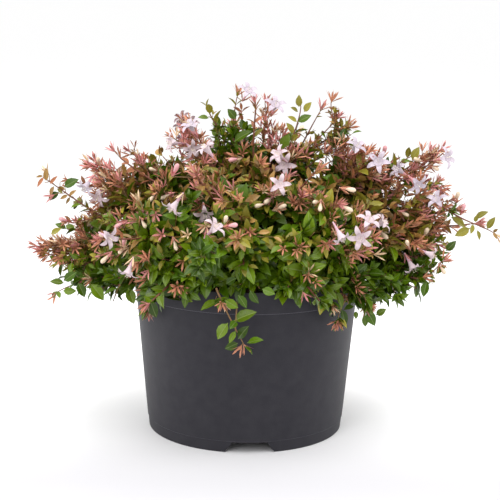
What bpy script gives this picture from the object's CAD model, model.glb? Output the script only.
"""A potted prostrate glossy abelia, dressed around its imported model.

Growing values are in millimetres, in the shrub's own frame: its foot is the origin, on the growing
medium, and +Z is up. Meshes are made in metres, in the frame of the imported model.
"""

import functools
import math

import bpy
import numpy as np
from mathutils import Matrix, Vector


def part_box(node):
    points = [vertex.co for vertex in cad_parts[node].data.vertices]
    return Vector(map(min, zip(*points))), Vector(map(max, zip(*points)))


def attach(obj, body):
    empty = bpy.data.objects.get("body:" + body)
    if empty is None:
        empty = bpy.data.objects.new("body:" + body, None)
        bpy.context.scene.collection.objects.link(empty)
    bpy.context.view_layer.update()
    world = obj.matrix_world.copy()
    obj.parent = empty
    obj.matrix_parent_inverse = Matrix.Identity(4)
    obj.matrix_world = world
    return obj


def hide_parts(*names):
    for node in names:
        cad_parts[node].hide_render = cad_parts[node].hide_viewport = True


bl_info = {
    "name": "Potted glossy abelia",
    "version": (1, 0, 0),
    "blender": (4, 5, 0),
    "location": "View3D > Sidebar > Abelia",
    "description": "Grows the leaves, twigs and flowers of a low glossy abelia in its nursery pot",
    "category": "Object",
}

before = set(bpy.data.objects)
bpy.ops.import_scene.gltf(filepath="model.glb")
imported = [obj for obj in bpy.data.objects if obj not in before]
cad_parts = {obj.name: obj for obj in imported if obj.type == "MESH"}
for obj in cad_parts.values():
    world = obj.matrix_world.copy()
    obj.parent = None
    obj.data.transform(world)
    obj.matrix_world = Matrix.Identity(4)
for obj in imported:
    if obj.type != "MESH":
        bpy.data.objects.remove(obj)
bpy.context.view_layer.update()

MM = 0.001
FULL_TURN = 2 * math.pi
SEEDS = {"shrub": 7, "medium": 11, "bark": 5, "leaves": 3, "sepals": 9, "flowers": 13}

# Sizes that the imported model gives.
POT_LOW, POT_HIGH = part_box("pot")
_, SOIL_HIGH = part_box("soil")
STEM_LOW, STEM_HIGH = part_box("main_stem")
POT_RADIUS = (POT_HIGH.x - POT_LOW.x) / 2 / MM
POT_HEIGHT = POT_HIGH.z / MM
SHRUB_HEIGHT = STEM_LOW.z / MM
STEM_HEIGHT = (STEM_HIGH.z - STEM_LOW.z) / MM

# The pot's other sizes.
POT_BASE_RADIUS = 82
POT_WALL = 1.5
BAND_HEIGHT = 18
BAND_STEP = 0.9
FOOT_LINE_HEIGHT = 9.4
FOOT_LINE_STEP = 0.5
FOOT_WIDTH = 7
FLOOR_LIFT = 8.4
PAD_RADIUS = 20
PAD_SLOPE = 5
NOTCH_COUNT = 3
NOTCH_AZIMUTH = -87
NOTCH_WIDTH_AT_GROUND = 41
NOTCH_WIDTH_AT_TOP = 28
DRAIN_RADIUS = 4.5
DRAIN_RING_RADIUS = 62
POT_COLUMNS = 192
POT_SHARP_DEGREES = 32
DRAIN_SIDES = 24

# The growing medium's surface: its rings and sides, how deep its crumbs are, and its gap to the pot.
MEDIUM_RINGS = 34
MEDIUM_SIDES = 96
CRUMB_DEPTH = 2.6
MEDIUM_CLEARANCE = 0.35

# Rows and sides of stem and boughs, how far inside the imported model's bark theirs lies, and how far the
# stem's flat foot stands above its cut.
STEM_ROWS, STEM_SIDES = 40, 28
BOUGH_ROWS, BOUGH_SIDES = 27, 10
BARK_INSET = 0.97
STEM_FOOT = 0.02

# The main stem and the crown's centre.
STEM_LEAN = 3
STEM_RADIUS = 5.4
STEM_TOP_RADIUS = 4.6
ROOT_FLARE_RADIUS = 9.5
ROOT_FLARE_HEIGHT = 9
CROWN_CENTRE = np.array([0.0, 0.0, 150 - SHRUB_HEIGHT])

# Tiers of shoots: name, foot on the stem, first azimuth, share that is bare bough, launch and arrival
# slopes in degrees, curl, and the reach in millimetres and rise in degrees of each tip.
TIERS = (
    ("crest", STEM_HEIGHT, 12, 0, 76, 66, 0.3, ((126, 63), (118, 74), (112, 66), (121, 78))),
    ("shoulder", 27, 5, 0.3, 66, 40, 0.3,
     ((162, 28), (130, 40), (126, 42), (130, 36), (116, 38), (118, 40))),
    ("flank", 19.5, -3, 0.36, 58, 10, 0.3,
     ((186, 8), (150, 14), (144, 12), (148, 15), (160, 20), (146, 10), (132, 14), (142, 12))),
    ("skirt", 12, -64, 0.4, 52, -24, 0.3,
     ((128, -8), (150, -5), (136, -8), (134, -6), (160, -6), (130, -9))),
    ("trailing", 5.5, -94, 0.36, 64, -72, 0.46,
     ((121, -20), (120, -19), (126, -13), (122, -16), (126, -13), (124, -16))),
)

# The share of its reach that a shoot keeps to its launch slope, the gap between nodes of the packed
# model, the radii of shoots and boughs, the samples of a shoot's line and the room round the pot.
LAUNCH_SHARE = 0.34
CLEARANCE = 0.3
SHOOT_RADIUS = 1.5
TRAILING_RADIUS = 1.125
SHOOT_TIP_RADIUS = 0.6
BOUGH_RADIUS = 2.1
BOUGH_TIP_RADIUS = 1.5
CURVE_SAMPLES = 28
POT_MARGIN = 1.4

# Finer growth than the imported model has: twigs on each shoot, and twiglets on each twig. Radii are those
# of foot and tip, and a taper says how much shorter they are at the end of the shoot.
TWIG_SPACING = 9.5
TRAILING_TWIG_SPACING = 17
TWIG_LENGTH = 44
TWIG_TAPER = 0.42
TWIG_ANGLE = 50
TWIG_RADII = (0.85, 0.45)
TWIG_STEPS = 5
TWIGLET_SPACING = 8.5
TWIGLET_LENGTH = 20
TWIGLET_TAPER = 0.35
TWIGLET_ANGLE = 48
TWIGLET_RADII = (0.5, 0.3)
TWIGLET_STEPS = 3
SIDE_TWIG_ANGLE = 46
SPRAY_RADII = (0.85, 0.4)
SIDE_TWIG_RADII = (0.45, 0.28)
STALK_RADII = (0.32, 0.42)
BLOOM_STALK_RADII = (0.4, 0.35)

# Shares of its length at which a twig is tried until it fits, how far twigs and leaves may reach into
# the next shoot's room, how far leaves and sprays reach past a shoot, how far inside its reach the dense
# growth of each tier ends, and how much its twigs turn up.
SHORTER = (1, 0.8, 0.6, 0.42)
KNIT = 7
LEAF_KNIT = 60
LEAF_REACH = 16
SPRAY_REACH = 40
DENSE_REACH = {"crest": -32, "shoulder": -30, "flank": -24, "skirt": -12, "trailing": -10}
TWIG_LIFT = {"crest": 0.3, "shoulder": 0.25, "flank": 0.1, "skirt": -0.15, "trailing": -0.2}

# How leaves sit: their spacing, their angles from the twig along it, at its end and in a rosette, and how
# much their upper sides turn to the sky.
LEAF_SPACING = 7.4
LEAF_ANGLE = 56
END_LEAF_ANGLE = 30
ROSETTE_ANGLE = 62
ROSETTE_LEAVES = 7
LEAF_UPTURN = 0.5

# Young growth turns copper with its height, and at the sides also lower down: each from one value to
# the next, and the shares of plain tint, height, side and chance.
TINT_HEIGHTS = (134, 222)
TINT_SIDES = (76, 140)
TINT_SIDE_HEIGHTS = (118, 154)
TINT_SHARES = (0.19, 0.64, 0.4, 0.22)

# How likely a twig's tip carries a calyx star: what it is low down, what height adds from one value to
# the next, and what the distance to the side adds above a height. Tips inside the first share of the
# crown's reach carry none, and those inside the second fewer.
STAR_ODDS = 0.07
STAR_ODDS_HIGH, STAR_HEIGHTS = 0.5, (136, 212)
STAR_ODDS_ASIDE, STAR_SIDES, STAR_SIDE_HEIGHT = 0.3, (80, 140), 132
STAR_REACH, STAR_FULL_REACH = 0.58, 0.68

# Length of a star's stalk on twigs and on sprays, and the tint of the calyces by a bloom.
TWIG_STALK = 6
SPRAY_STALK = 3
BLOOM_TINT = 0.9

# The hem of the crown: how low the lowest growth hangs, how low leaves hang over the rim, how low
# further out on either side, and how close to a trailing shoot they may hang lower still, unless that is
# further to the left than the last value.
CROWN_UNDERSIDE = 78
HEM_HEIGHT = 127
OUTER_HEM_LEFT = 112
OUTER_HEM_RIGHT = 97
OUTER_HEM_RADIUS = 108
TRAILING_ROOM = 21
OUTER_TRAILS = 86

# What a spray carries: how copper it is, the size and spacing of its leaves, the spacing and length of
# its side twigs, and how many of its tips carry a calyx star.
HABITS = {
    "copper": (0.95, 0.52, 6.5, 6.0, 6, 0.85),
    "bronze": (0.78, 0.6, 7.5, 8.0, 9, 0.36),
    "olive": (0.52, 0.68, 8.5, 10.0, 12, 0.06),
    "green": (0.1, 0.98, 12.0, 40.0, 6, 0.0),
    "leafy": (0.2, 0.95, 8.0, 9.0, 14, 0.06),
    "slender": (0.58, 0.8, 7.5, 13.0, 4, 0.0),
    "hanging": (0.14, 1.0, 11.5, 60.0, 6, 0.9),
    "bare": (0.3, 0.6, 40.0, 60.0, 6, 0.9),
}

# Sprays that stand out of the crown: where the tip shows in the photograph, in its pixels, and its
# depth, how far back along the way to the crown's middle the spray starts, and its habit. The tip stands
# back by the overhang of its leaves.
SPRAYS = (
    ((86, 161), 9, 22, "copper"), ((120, 143), 10, 26, "copper"), ((134, 156), 10, 22, "olive"),
    ((62, 219), -20, 36, "bronze"), ((31, 246), -25, 60, "copper"), ((44, 246), -25, 30, "copper"),
    ((58, 262), -30, 36, "olive"), ((83, 294), -40, 24, "green"), ((157, 150), 5, 22, "olive"),
    ((172, 133), 0, 26, "copper"), ((186, 128), 0, 30, "copper"), ((214, 115), -5, 30, "olive"),
    ((274, 122), 10, 30, "copper"), ((350, 118), 0, 20, "olive"), ((357, 128), -10, 20, "green"),
    ((357, 136), -12, 26, "copper"), ((372, 146), -10, 28, "copper"), ((382, 152), 0, 20, "bronze"),
    ((396, 160), 5, 26, "olive"), ((419, 152), 0, 26, "slender"), ((445, 182), -10, 28, "olive"),
    ((457, 199), -10, 32, "bronze"), ((461, 209), -10, 26, "bronze"), ((457, 243), -20, 28, "olive"),
    ((447, 256), -25, 24, "green"), ((437, 277), -35, 32, "olive"), ((425, 290), -40, 36, "green"),
    ((404, 301), -45, 34, "green"), ((384, 308), -52, 30, "green"), ((372, 303), -60, 34, "leafy"),
    ((388, 298), -50, 34, "leafy"), ((362, 290), -62, 30, "leafy"), ((408, 290), -42, 34, "leafy"),
    ((432, 284), -36, 34, "leafy"), ((400, 282), -48, 30, "leafy"), ((440, 268), -30, 30, "leafy"),
    ((90, 288), -42, 32, "leafy"), ((68, 284), -36, 34, "leafy"), ((118, 291), -50, 28, "leafy"),
    ((412, 168), 0, 34, "bronze"), ((424, 172), -4, 34, "copper"), ((58, 228), -20, 30, "green"),
    ((55, 281), -30, 40, "green"), ((455, 222), -10, 26, "bronze"), ((228, 112), 0, 34, "olive"),
    ((244, 122), -4, 26, "leafy"), ((221, 126), -6, 26, "olive"), ((232, 128), -8, 24, "leafy"),
    ((306, 142), -10, 22, "olive"), ((314, 137), -8, 24, "bronze"), ((322, 137), -8, 22, "olive"),
    ((330, 138), -6, 22, "bronze"), ((324, 150), -14, 22, "olive"), ((362, 148), -8, 22, "copper"),
    ((449, 184), -8, 24, "copper"), ((458, 226), -12, 22, "bronze"), ((36, 251), -25, 36, "bronze"),
    ((60, 270), -30, 26, "olive"), ((262, 290), -92, 26, "leafy"), ((231, 288), -99, 24, "leafy"),
    ((82, 159), 12, 24, "copper"), ((341, 112), 0, 24, "bronze"), ((324, 104), -2, 22, "bronze"),
    ((354, 117), 0, 20, "bronze"), ((34, 256), -25, 30, "copper"), ((352, 122), 0, 18, "bronze"),
    ((283, 126), 2, 24, "copper"), ((446, 147), 0, 24, "copper"), ((198, 261), -153, 30, "leafy"),
    ((249, 293), -96, 24, "leafy"),
)
SPRAY_OVERHANG = 7
SPRAY_STEPS = 9
SHOWN_STEM_STEPS = 12

# Sprays round the crown where the photograph doesn't show them: how many are tried, their habits, how
# far they may turn from their shoot's azimuth and rise, in degrees, how far inside its reach they end at
# least and how much that varies, and the same for their length. None grows where its heading's y is
# nearer to 0 than the side's value, or further in front than the front's and lower than its rise.
SPRAYS_ROUND = 52
ROUND_HABITS = ("copper", "bronze", "olive", "green")
ROUND_TURN = 13
ROUND_RISE = 9
ROUND_SHORT, ROUND_SHORT_RANGE = 13, 11
ROUND_LENGTH, ROUND_LENGTH_RANGE = 24, 18
SIDE_HEADING = 0.35
FRONT_HEADING, FRONT_RISE = -0.75, 25

# Gaps in the crown through which the photograph shows the sky: the pixel of each and its radius.
SKY_GAPS = (
    ((112, 158), 7), ((117, 167), 4.5), ((199, 121), 6), ((327, 127), 6), ((359, 129), 4.5), ((60, 174), 4),
    ((431, 175), 4), ((109, 304), 6), ((401, 160), 4), ((147, 159), 3.5), ((166, 159), 4.5),
    ((129, 142), 4), ((314, 118), 6), ((292, 124), 4), ((309, 127), 5), ((318, 124), 4),
)

# Sprays that hang over the rim in front of the pot: the tip's pixel and its depth. They start about so
# far above the tip, and so much of their line follows the stem and hangs straight down.
HANGING_SPRAYS = (((331, 303), -82), ((338, 319), -75), ((366, 304), -62), ((149, 308), -60))
HANGING_LENGTH = 30
HANGING_LEAD = 8
HANGING_DROP = 10

# Sprays further in front than this have young stems, short shoots carry foliage on this share of their
# line, and plain trailing shoots end without a rosette.
YOUNG_STEMS_BEFORE = -55
SHORT_SHOOTS = ("crest_1",)
SHORT_SHARE = 0.72
PLAIN_TRAILS = ("trailing_1", "trailing_2", "trailing_6")

# Stems whose whole line shows: their pixels from the crown out to the tip, the depth and the habit.
SHOWN_STEMS = (
    (((216, 288), (222, 304), (236, 330), (243, 343)), -108, "bare"),
    (((100, 216), (84, 206), (62, 190), (43, 177)), 0, "bronze"),
    (((108, 276), (88, 279), (72, 284), (57, 292)), -36, "bare"),
    (((222, 134), (214, 122), (209, 114), (207, 107)), -5, "slender"),
    (((234, 142), (232, 121), (235, 108), (237, 97)), -2, "slender"),
    (((262, 150), (265, 130), (267, 114), (265, 104)), 4, "copper"),
    (((284, 160), (297, 126), (303, 110), (300, 102)), -5, "slender"),
    (((348, 152), (338, 132), (330, 114), (331, 103)), -2, "bronze"),
    (((402, 186), (420, 172), (432, 163), (438, 153)), 0, "copper"),
    (((440, 204), (461, 222), (480, 224), (494, 233)), -18, "bare"),
    (((410, 277), (427, 282), (434, 270), (442, 262)), -36, "bare"),
)

# Leaves that the photograph shows one by one: the pixels of stalk and tip, the depth and the tint.
SHOWN_LEAVES = (
    ((64, 187), (78, 179), 2, 0.1), ((59, 192), (48, 200), 0, 0.1), ((46, 181), (46, 168), 0, 0.66),
    ((64, 283), (50, 281), -34, 0.1), ((63, 291), (76, 291), -36, 0.1), ((91, 284), (104, 300), -46, 0.1),
    ((78, 283), (85, 297), -42, 0.1), ((51, 234), (61, 228), -26, 0.5), ((64, 281), (76, 272), -36, 0.2),
    ((475, 219), (488, 211), -18, 0.46), ((487, 229), (495, 217), -20, 0.5),
    ((477, 230), (480, 240), -19, 0.5), ((470, 228), (455, 236), -16, 0.62),
    ((451, 217), (466, 227), -14, 0.44), ((412, 160), (419, 147), -4, 0.4),
    ((475, 222), (477, 215), -18, 0.5), ((493, 232), (497, 239), -19, 0.6),
    ((493, 232), (498, 229), -19, 0.6), ((473, 224), (471, 234), -18, 0.6),
    ((128, 288), (134, 304), -60, 0.15), ((250, 290), (258, 304), -106, 0.15),
    ((262, 289), (275, 294), -104, 0.1), ((44, 177), (37, 187), 0, 0.8), ((50, 184), (57, 176), 0, 0.8),
    ((43, 176), (36, 177), 0, 0.8), ((54, 186), (50, 196), 0, 0.6), ((226, 284), (236, 278), -104, 0.3),
    ((57, 291), (52, 298), -36, 0.3), ((58, 291), (60, 298), -36, 0.4), ((70, 197), (66, 204), 0, 0.7),
    ((69, 196), (76, 190), 0, 0.66), ((68, 195), (60, 199), 0, 0.66), ((367, 310), (375, 326), -62, 0.2),
    ((356, 311), (356, 319), -62, 0.3), ((376, 315), (386, 309), -58, 0.4),
    ((354, 306), (344, 309), -64, 0.15), ((446, 251), (456, 241), -26, 0.3),
    ((427, 281), (423, 297), -40, 0.2), ((436, 274), (446, 265), -34, 0.3),
    ((299, 107), (299, 95), -6, 0.46), ((304, 112), (311, 102), -6, 0.46),
    ((298, 122), (311, 115), -6, 0.3), ((298, 112), (291, 107), -6, 0.5), ((297, 122), (288, 116), -6, 0.5),
    ((236, 119), (228, 109), -4, 0.2), ((234, 142), (251, 130), -12, 0.1),
    ((209, 118), (198, 117), -6, 0.4), ((281, 149), (289, 134), -10, 0.2),
    ((234, 321), (256, 311), -110, 0.2), ((228, 323), (217, 339), -110, 0.15),
    ((238, 339), (248, 326), -110, 0.15), ((247, 343), (263, 339), -110, 0.2),
    ((238, 343), (225, 349), -110, 0.15), ((244, 346), (253, 354), -110, 0.3),
    ((219, 301), (200, 309), -106, 0.15), ((225, 300), (238, 308), -108, 0.2),
    ((238, 295), (247, 308), -108, 0.1), ((150, 299), (156, 318), -62, 0.12),
    ((161, 294), (183, 299), -76, 0.25), ((294, 290), (301, 308), -94, 0.12),
)
# Other leaves that show this close to a shown one's middle, in pixels, are left off, in front of it and
# this far behind it. The shown ones are a little wider than the rest.
SHOWN_LEAF_ROOM = 7.5
SHOWN_LEAF_DEPTH = 13
SHOWN_LEAF_WIDTH = 1.25

# Where flowers and buds show in the photograph, in its pixels, and how far from there their feet show.
FLOWERS = (
    ((249, 89), (-3, 5)), ((276, 103), (-2, 5)), ((189, 123), (4, 7)), ((169, 143), (9, 0)),
    ((193, 150), (-4, -4)), ((204, 146), (7, 8)), ((284, 165), (1, -2)), ((280, 184), (-1, 2)),
    ((277, 153), (5, 4)), ((171, 210), (7, -10)), ((205, 216), (-1, -6)), ((111, 239), (-6, -3)),
    ((127, 275), (4, -12)), ((84, 189), (5, -8)), ((97, 199), (3, -6)), ((378, 161), (2, 3)),
    ((396, 168), (8, 5)), ((449, 157), (-6, 1)), ((419, 186), (-4, -5)), ((436, 198), (3, 5)),
    ((358, 144), (-4, 5)), ((434, 256), (-13, -6)), ((414, 270), (-7, -13)), ((343, 240), (-6, -11)),
    ((360, 239), (2, -3)), ((385, 221), (-9, 5)), ((370, 218), (-2, 6)), ((217, 225), (-6, 6)),
)
BUDS = (
    ((98, 159), (-1, 6)), ((61, 219), (7, 2)), ((103, 261), (6, -7)), ((120, 252), (6, -6)),
    ((124, 240), (-1, 8)), ((163, 198), (8, -4)), ((150, 200), (5, -6)), ((231, 160), (9, -2)),
    ((266, 202), (5, -4)), ((257, 206), (7, -2)), ((284, 206), (-8, 3)), ((176, 248), (-3, -10)),
    ((151, 169), (7, 2)), ((177, 166), (-4, 7)), ((117, 226), (7, -4)), ((101, 235), (7, 1)),
    ((226, 218), (-2, 8)), ((235, 225), (-8, 1)), ((353, 190), (-10, -2)), ((315, 202), (7, -2)),
    ((320, 209), (1, -7)), ((350, 210), (-9, -5)), ((339, 223), (6, -4)), ((407, 215), (-8, -4)),
    ((386, 237), (-5, -6)), ((444, 272), (-3, -6)), ((407, 242), (3, 6)), ((427, 230), (-2, 6)),
    ((458, 194), (-1, 7)), ((464, 206), (-2, 7)), ((437, 169), (-6, -3)), ((416, 159), (7, 2)),
    ((385, 148), (-1, 6)), ((145, 226), (-5, -8)),
)

# A bloom's length, how far in front of its twig's tip its mouth stands, the pixels round it that leaves
# and calyces leave free, the open flower's sizes, and how far, in radians, calyces and flowers may spin
# about their heading.
FLOWER_LENGTH, FLOWER_FORWARD, FLOWER_VIEW = 14.5, 20, 9.5
BUD_LENGTH, BUD_FORWARD, BUD_VIEW = 14, 7, 5.5
TUBE_LENGTH, THROAT_RADIUS, FLOWER_RADIUS = 13.5, 3.5, 9.4
MOST_SPIN = 6

# A bloom sits on the tip that costs least: its distance in pixels, and so much for each millimetre that
# it lies behind the foremost tip and for having a bloom already.
SEAT_DEPTH_COST = 0.26
SEAT_USED_COST = 12

# Blooms behind the crown: how far out, how far back and how high their tips are at least.
FLOWERS_ROUND = 30
BUDS_ROUND = 30
ROUND_BLOOM_REACH = 0.74
ROUND_BLOOM_BACK = 0.4
ROUND_BLOOM_HEIGHT = 150

# The crown's middle and half its size, in pixels. Flowers high up and far out are lilac.
CROWN_PIXEL = (247, 235)
CROWN_PIXELS_OUT = (200, 140)
LILAC_FROM = 0.8

# The camera, found from the pot's outline in a 500 x 500 picture.
PICTURE_PIXELS = 500
FOCAL_PIXELS = 1355
SENSOR_WIDTH = 36
CAMERA_PLACE = Vector((0, -1.1133, 0.3637))
CAMERA_PITCH = math.radians(10.89)
CAMERA_YAW = math.radians(0.12)
CAMERA_ROLL = math.radians(0.83)

# The stage in metres: half the floor's side, what the softboxes face, and each one's name, place, size
# and setting.
FLOOR_HALF = 60.0
CROWN_MIDDLE = (0, 0, 0.17)
SOFTBOXES = (
    ("top_softbox", (0.1, -0.35, 1.35), (1.1, 1.1), "top_power"),
    ("front_softbox", (-0.75, -1.5, 0.95), (0.8, 0.8), "front_power"),
    ("left_softbox", (-1.2, 0.15, 0.45), (0.5, 1.2), "side_power"),
    ("right_softbox", (1.2, 0.15, 0.45), (0.5, 1.2), "side_power"),
)

# Leaf blades: places along the midrib with half the width there, for leaves that show and for hidden
# ones, half the midrib's width, the names of the finishes, the tints at which the next one begins, and
# the tints between which a blade gets small and narrow. Blades are plain inside the first share of the
# crown's reach, and deep green inside the second.
FULL_LEAF = ((0, 0.03), (0.08, 0.09), (0.22, 0.37), (0.42, 0.5), (0.64, 0.45), (0.84, 0.24), (1.0, 0.0))
PLAIN_LEAF = ((0, 0.03), (0.12, 0.14), (0.42, 0.5), (0.72, 0.38), (1.0, 0.0))
MIDRIB = 0.035
LEAF_TINTS = ("deep", "mature", "fresh", "olive", "bronze", "russet")
TINT_STEPS = (0.24, 0.42, 0.6, 0.78)
YOUNG_TINTS = (0.35, 0.85)
DETAILED_REACH = 0.66
DEEP_REACH = 0.62

UP = np.array([0.0, 0.0, 1.0])


def column(rows, k):
    """One value of every row, as an array."""
    return np.array([row[k] for row in rows])


def ramp(value, span):
    """How far a value has come from the low to the high end of a span, from 0 to 1."""
    low, high = span
    return np.clip((value - low) / (high - low), 0, 1)


def camera_axes():
    """Right, up and forward of the camera, as unit vectors."""
    level = math.cos(CAMERA_PITCH)
    sin, cos = math.sin(CAMERA_YAW), math.cos(CAMERA_YAW)
    forward = np.array([sin * level, cos * level, -math.sin(CAMERA_PITCH)])
    right = np.array([cos, -sin, 0.0])
    up = np.cross(right, forward)
    cos, sin = math.cos(CAMERA_ROLL), math.sin(CAMERA_ROLL)
    return right * cos + up * sin, up * cos - right * sin, forward


def picture_place(points):
    """Pixels and depth of points that are given in the shrub's own frame, in millimetres."""
    right, up, forward = camera_axes()
    away = points + UP * SHRUB_HEIGHT - np.array(CAMERA_PLACE) / MM
    depth = away @ forward
    middle = PICTURE_PIXELS / 2
    x = middle + FOCAL_PIXELS * (away @ right) / depth
    y = middle - FOCAL_PIXELS * (away @ up) / depth
    return np.stack([x, y], axis=1), depth


def picture_ray(pixel):
    """What a pixel looks along: a step of one millimetre in depth, in the shrub's own frame."""
    right, up, forward = camera_axes()
    middle = PICTURE_PIXELS / 2
    return forward + right * (pixel[0] - middle) / FOCAL_PIXELS + up * (middle - pixel[1]) / FOCAL_PIXELS


def behind_pixel(pixel, depth=None, y=None):
    """The point that a pixel shows at a depth from the camera, or on an upright plane at a y."""
    eye = np.array(CAMERA_PLACE) / MM - UP * SHRUB_HEIGHT
    ray = picture_ray(pixel)
    return eye + ray * ((y - eye[1]) / ray[1] if depth is None else depth)


def in_sky(points):
    """Which points show in a gap of the crown through which the photograph shows the sky."""
    spots, radii = column(SKY_GAPS, 0), column(SKY_GAPS, 1)
    pixels, _ = picture_place(points)
    return (np.linalg.norm(pixels[:, None] - spots[None], axis=2) < radii).any(axis=1)


def unit(vectors):
    """Vectors scaled to length one, along the last axis."""
    vectors = np.asarray(vectors, float)
    length = np.linalg.norm(vectors, axis=-1, keepdims=True)
    return vectors / np.maximum(length, 1e-9)


def direction(azimuth, rise):
    """A heading, from degrees round and up."""
    a, e = math.radians(azimuth), math.radians(rise)
    return np.array([math.cos(a) * math.cos(e), math.sin(a) * math.cos(e), math.sin(e)])


def turn_about(vector, axis, angle):
    """The vector turned about a unit axis."""
    cos, sin = math.cos(angle), math.sin(angle)
    return vector * cos + np.cross(axis, vector) * sin + axis * (axis @ vector) * (1 - cos)


def spaced(points, count):
    """A line of points replaced by count + 1 points evenly spaced along it."""
    steps = np.linalg.norm(np.diff(points, axis=0), axis=1)
    run = np.concatenate([[0], np.cumsum(steps)])
    at = np.linspace(0, run[-1], count + 1)
    return np.stack([np.interp(at, run, points[:, k]) for k in range(3)], axis=1)


def bezier(corners, count):
    """Points on a Bezier curve of any degree, evenly spaced."""
    t = np.linspace(0, 1, 4 * count + 1)[:, None]
    layers = [np.broadcast_to(np.asarray(corner, float), (len(t), 3)) for corner in corners]
    while len(layers) > 1:
        layers = [a * (1 - t) + b * t for a, b in zip(layers, layers[1:])]
    return spaced(layers[0], count)


def stem_point(share):
    """A point on the main stem's centre line, by its curve's parameter."""
    middle, top = UP * STEM_HEIGHT / 2, np.array([STEM_LEAN, 0, STEM_HEIGHT])
    return 2 * middle * share * (1 - share) + top * share ** 2


def stem_radius(share):
    """The main stem's radius, with its taper and its root flare."""
    flare = max(0, 1 - share * STEM_HEIGHT / ROOT_FLARE_HEIGHT)
    plain = STEM_RADIUS + (STEM_TOP_RADIUS - STEM_RADIUS) * share
    return plain + (ROOT_FLARE_RADIUS - STEM_RADIUS) * flare ** 2


def shoot_start(foot, azimuth, launch, bare):
    """Where a shoot leaves the stem: on its side, or on its top for the crest."""
    share = foot / STEM_HEIGHT
    start = stem_point(share)
    heading = direction(azimuth, launch)
    if bare == 0:
        axis = unit(stem_point(1) - stem_point(0.99))
        dip = SHOOT_RADIUS * np.linalg.norm(np.cross(axis, heading))
        side = direction(azimuth, 0)
        side = unit(side - axis * (side @ axis))
        return start + side * STEM_TOP_RADIUS / 2 + axis * (dip + CLEARANCE)
    return start + direction(azimuth, 0) * (stem_radius(share) + BOUGH_RADIUS * heading[2] + CLEARANCE)


def lay_out_shoots():
    """Every shoot of the shrub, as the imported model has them."""
    shoots = []
    for name, foot, first, bare, launch, arrival, curl, tips in TIERS:
        for i, (reach, rise) in enumerate(tips):
            azimuth = first + i * 360 / len(tips)
            start = shoot_start(foot, azimuth, launch, bare)
            tip = direction(azimuth, rise) * reach + CROWN_CENTRE
            line = bezier((
                start,
                start + direction(azimuth, launch) * reach * LAUNCH_SHARE,
                tip - direction(azimuth, arrival) * reach * curl,
                tip,
            ), CURVE_SAMPLES)
            shoots.append({
                "name": f"{name}_{i + 1}",
                "tier": name,
                "line": line,
                "bare": int(bare * CURVE_SAMPLES),
                "reach": reach,
                "azimuth": azimuth,
                "rise": rise,
            })
    return shoots


class Space:
    """The room that each shoot's foliage may fill."""

    def __init__(self, shoots):
        self.reach = np.array([shoot["reach"] for shoot in shoots], float)
        leafy = [shoot["line"][shoot["bare"]:] for shoot in shoots]
        self.points = np.concatenate(leafy).astype(np.float32)
        self.starts = np.cumsum([0] + [len(line) for line in leafy[:-1]])
        self.trailing = np.array([shoot["tier"] == "trailing" for shoot in shoots])

    def distances(self, points):
        """The distance from each point to each shoot's leafy part."""
        found = []
        for chunk in np.array_split(points.astype(np.float32), max(1, len(points) // 4000)):
            gap = np.linalg.norm(chunk[:, None] - self.points[None], axis=2)
            found.append(np.minimum.reduceat(gap, self.starts, axis=1))
        return np.concatenate(found)

    def holds(self, points, owners, beyond, knit=KNIT, free=False):
        """Whether each point is in its owner's room, which runs a little into the next one's. Free
        growth may hang below the crown's hem."""
        rows = np.arange(len(points))
        distances = self.distances(points)
        own = distances[rows, owners]
        by_trail = distances[:, self.trailing].min(axis=1) < TRAILING_ROOM
        distances[rows, owners] = np.inf
        knits = distances.min(axis=1) - own > -2 * knit
        level = np.hypot(points[:, 0], points[:, 1])
        height = points[:, 2] + SHRUB_HEIGHT
        clear = (height > POT_HEIGHT + POT_MARGIN) | (level > POT_RADIUS + POT_MARGIN)
        inside = np.linalg.norm(points - CROWN_CENTRE, axis=1) < self.reach[owners] + beyond
        outer_hem = np.where(points[:, 0] < 0, OUTER_HEM_LEFT, OUTER_HEM_RIGHT)
        hem = np.where(level > OUTER_HEM_RADIUS, outer_hem, HEM_HEIGHT)
        hem = np.where((by_trail & (points[:, 0] > -OUTER_TRAILS)) | free, CROWN_UNDERSIDE, hem)
        slender = ~self.trailing[owners] | (own < TRAILING_ROOM) | free
        return knits & clear & inside & slender & (height > hem)


def pair_side(axis, node, draw):
    """The side that a pair spreads to: level at one node, upright at the next."""
    level = np.cross(axis, UP)
    if np.linalg.norm(level) < 0.05:
        level = np.array([1.0, 0.0, 0.0])
    return turn_about(unit(level), axis, ((node % 2) * 0.5 + (draw.random() - 0.5) * 0.34) * math.pi)


def leaning(axis, side, angle, draw):
    """A heading that leans from an axis to a side, by about so many degrees."""
    lean = math.radians(angle * (0.82 + 0.36 * draw.random()))
    return axis * math.cos(lean) + side * math.sin(lean)


def bent_line(origin, heading, length, bend, steps):
    """A twig's line, which turns towards the bend as it grows."""
    points = [np.array(origin, float)]
    now = unit(heading)
    for _ in range(steps):
        now = unit(now + np.asarray(bend) / steps)
        points.append(points[-1] + now * length / steps)
    return np.array(points)


def along_line(line, distance):
    """A point on a line and the heading there, at a distance from its start."""
    steps = np.linalg.norm(np.diff(line, axis=0), axis=1)
    run = np.concatenate([[0], np.cumsum(steps)])
    distance = min(max(distance, 0), run[-1] - 1e-6)
    i = int(np.searchsorted(run, distance, side="right")) - 1
    i = min(i, len(steps) - 1)
    share = (distance - run[i]) / steps[i]
    return line[i] + (line[i + 1] - line[i]) * share, unit(line[i + 1] - line[i])


def line_length(line):
    return float(np.linalg.norm(np.diff(line, axis=0), axis=1).sum())


def line_end(line):
    """A line's last point and the heading there."""
    return line[-1], unit(line[-1] - line[-2])


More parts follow.
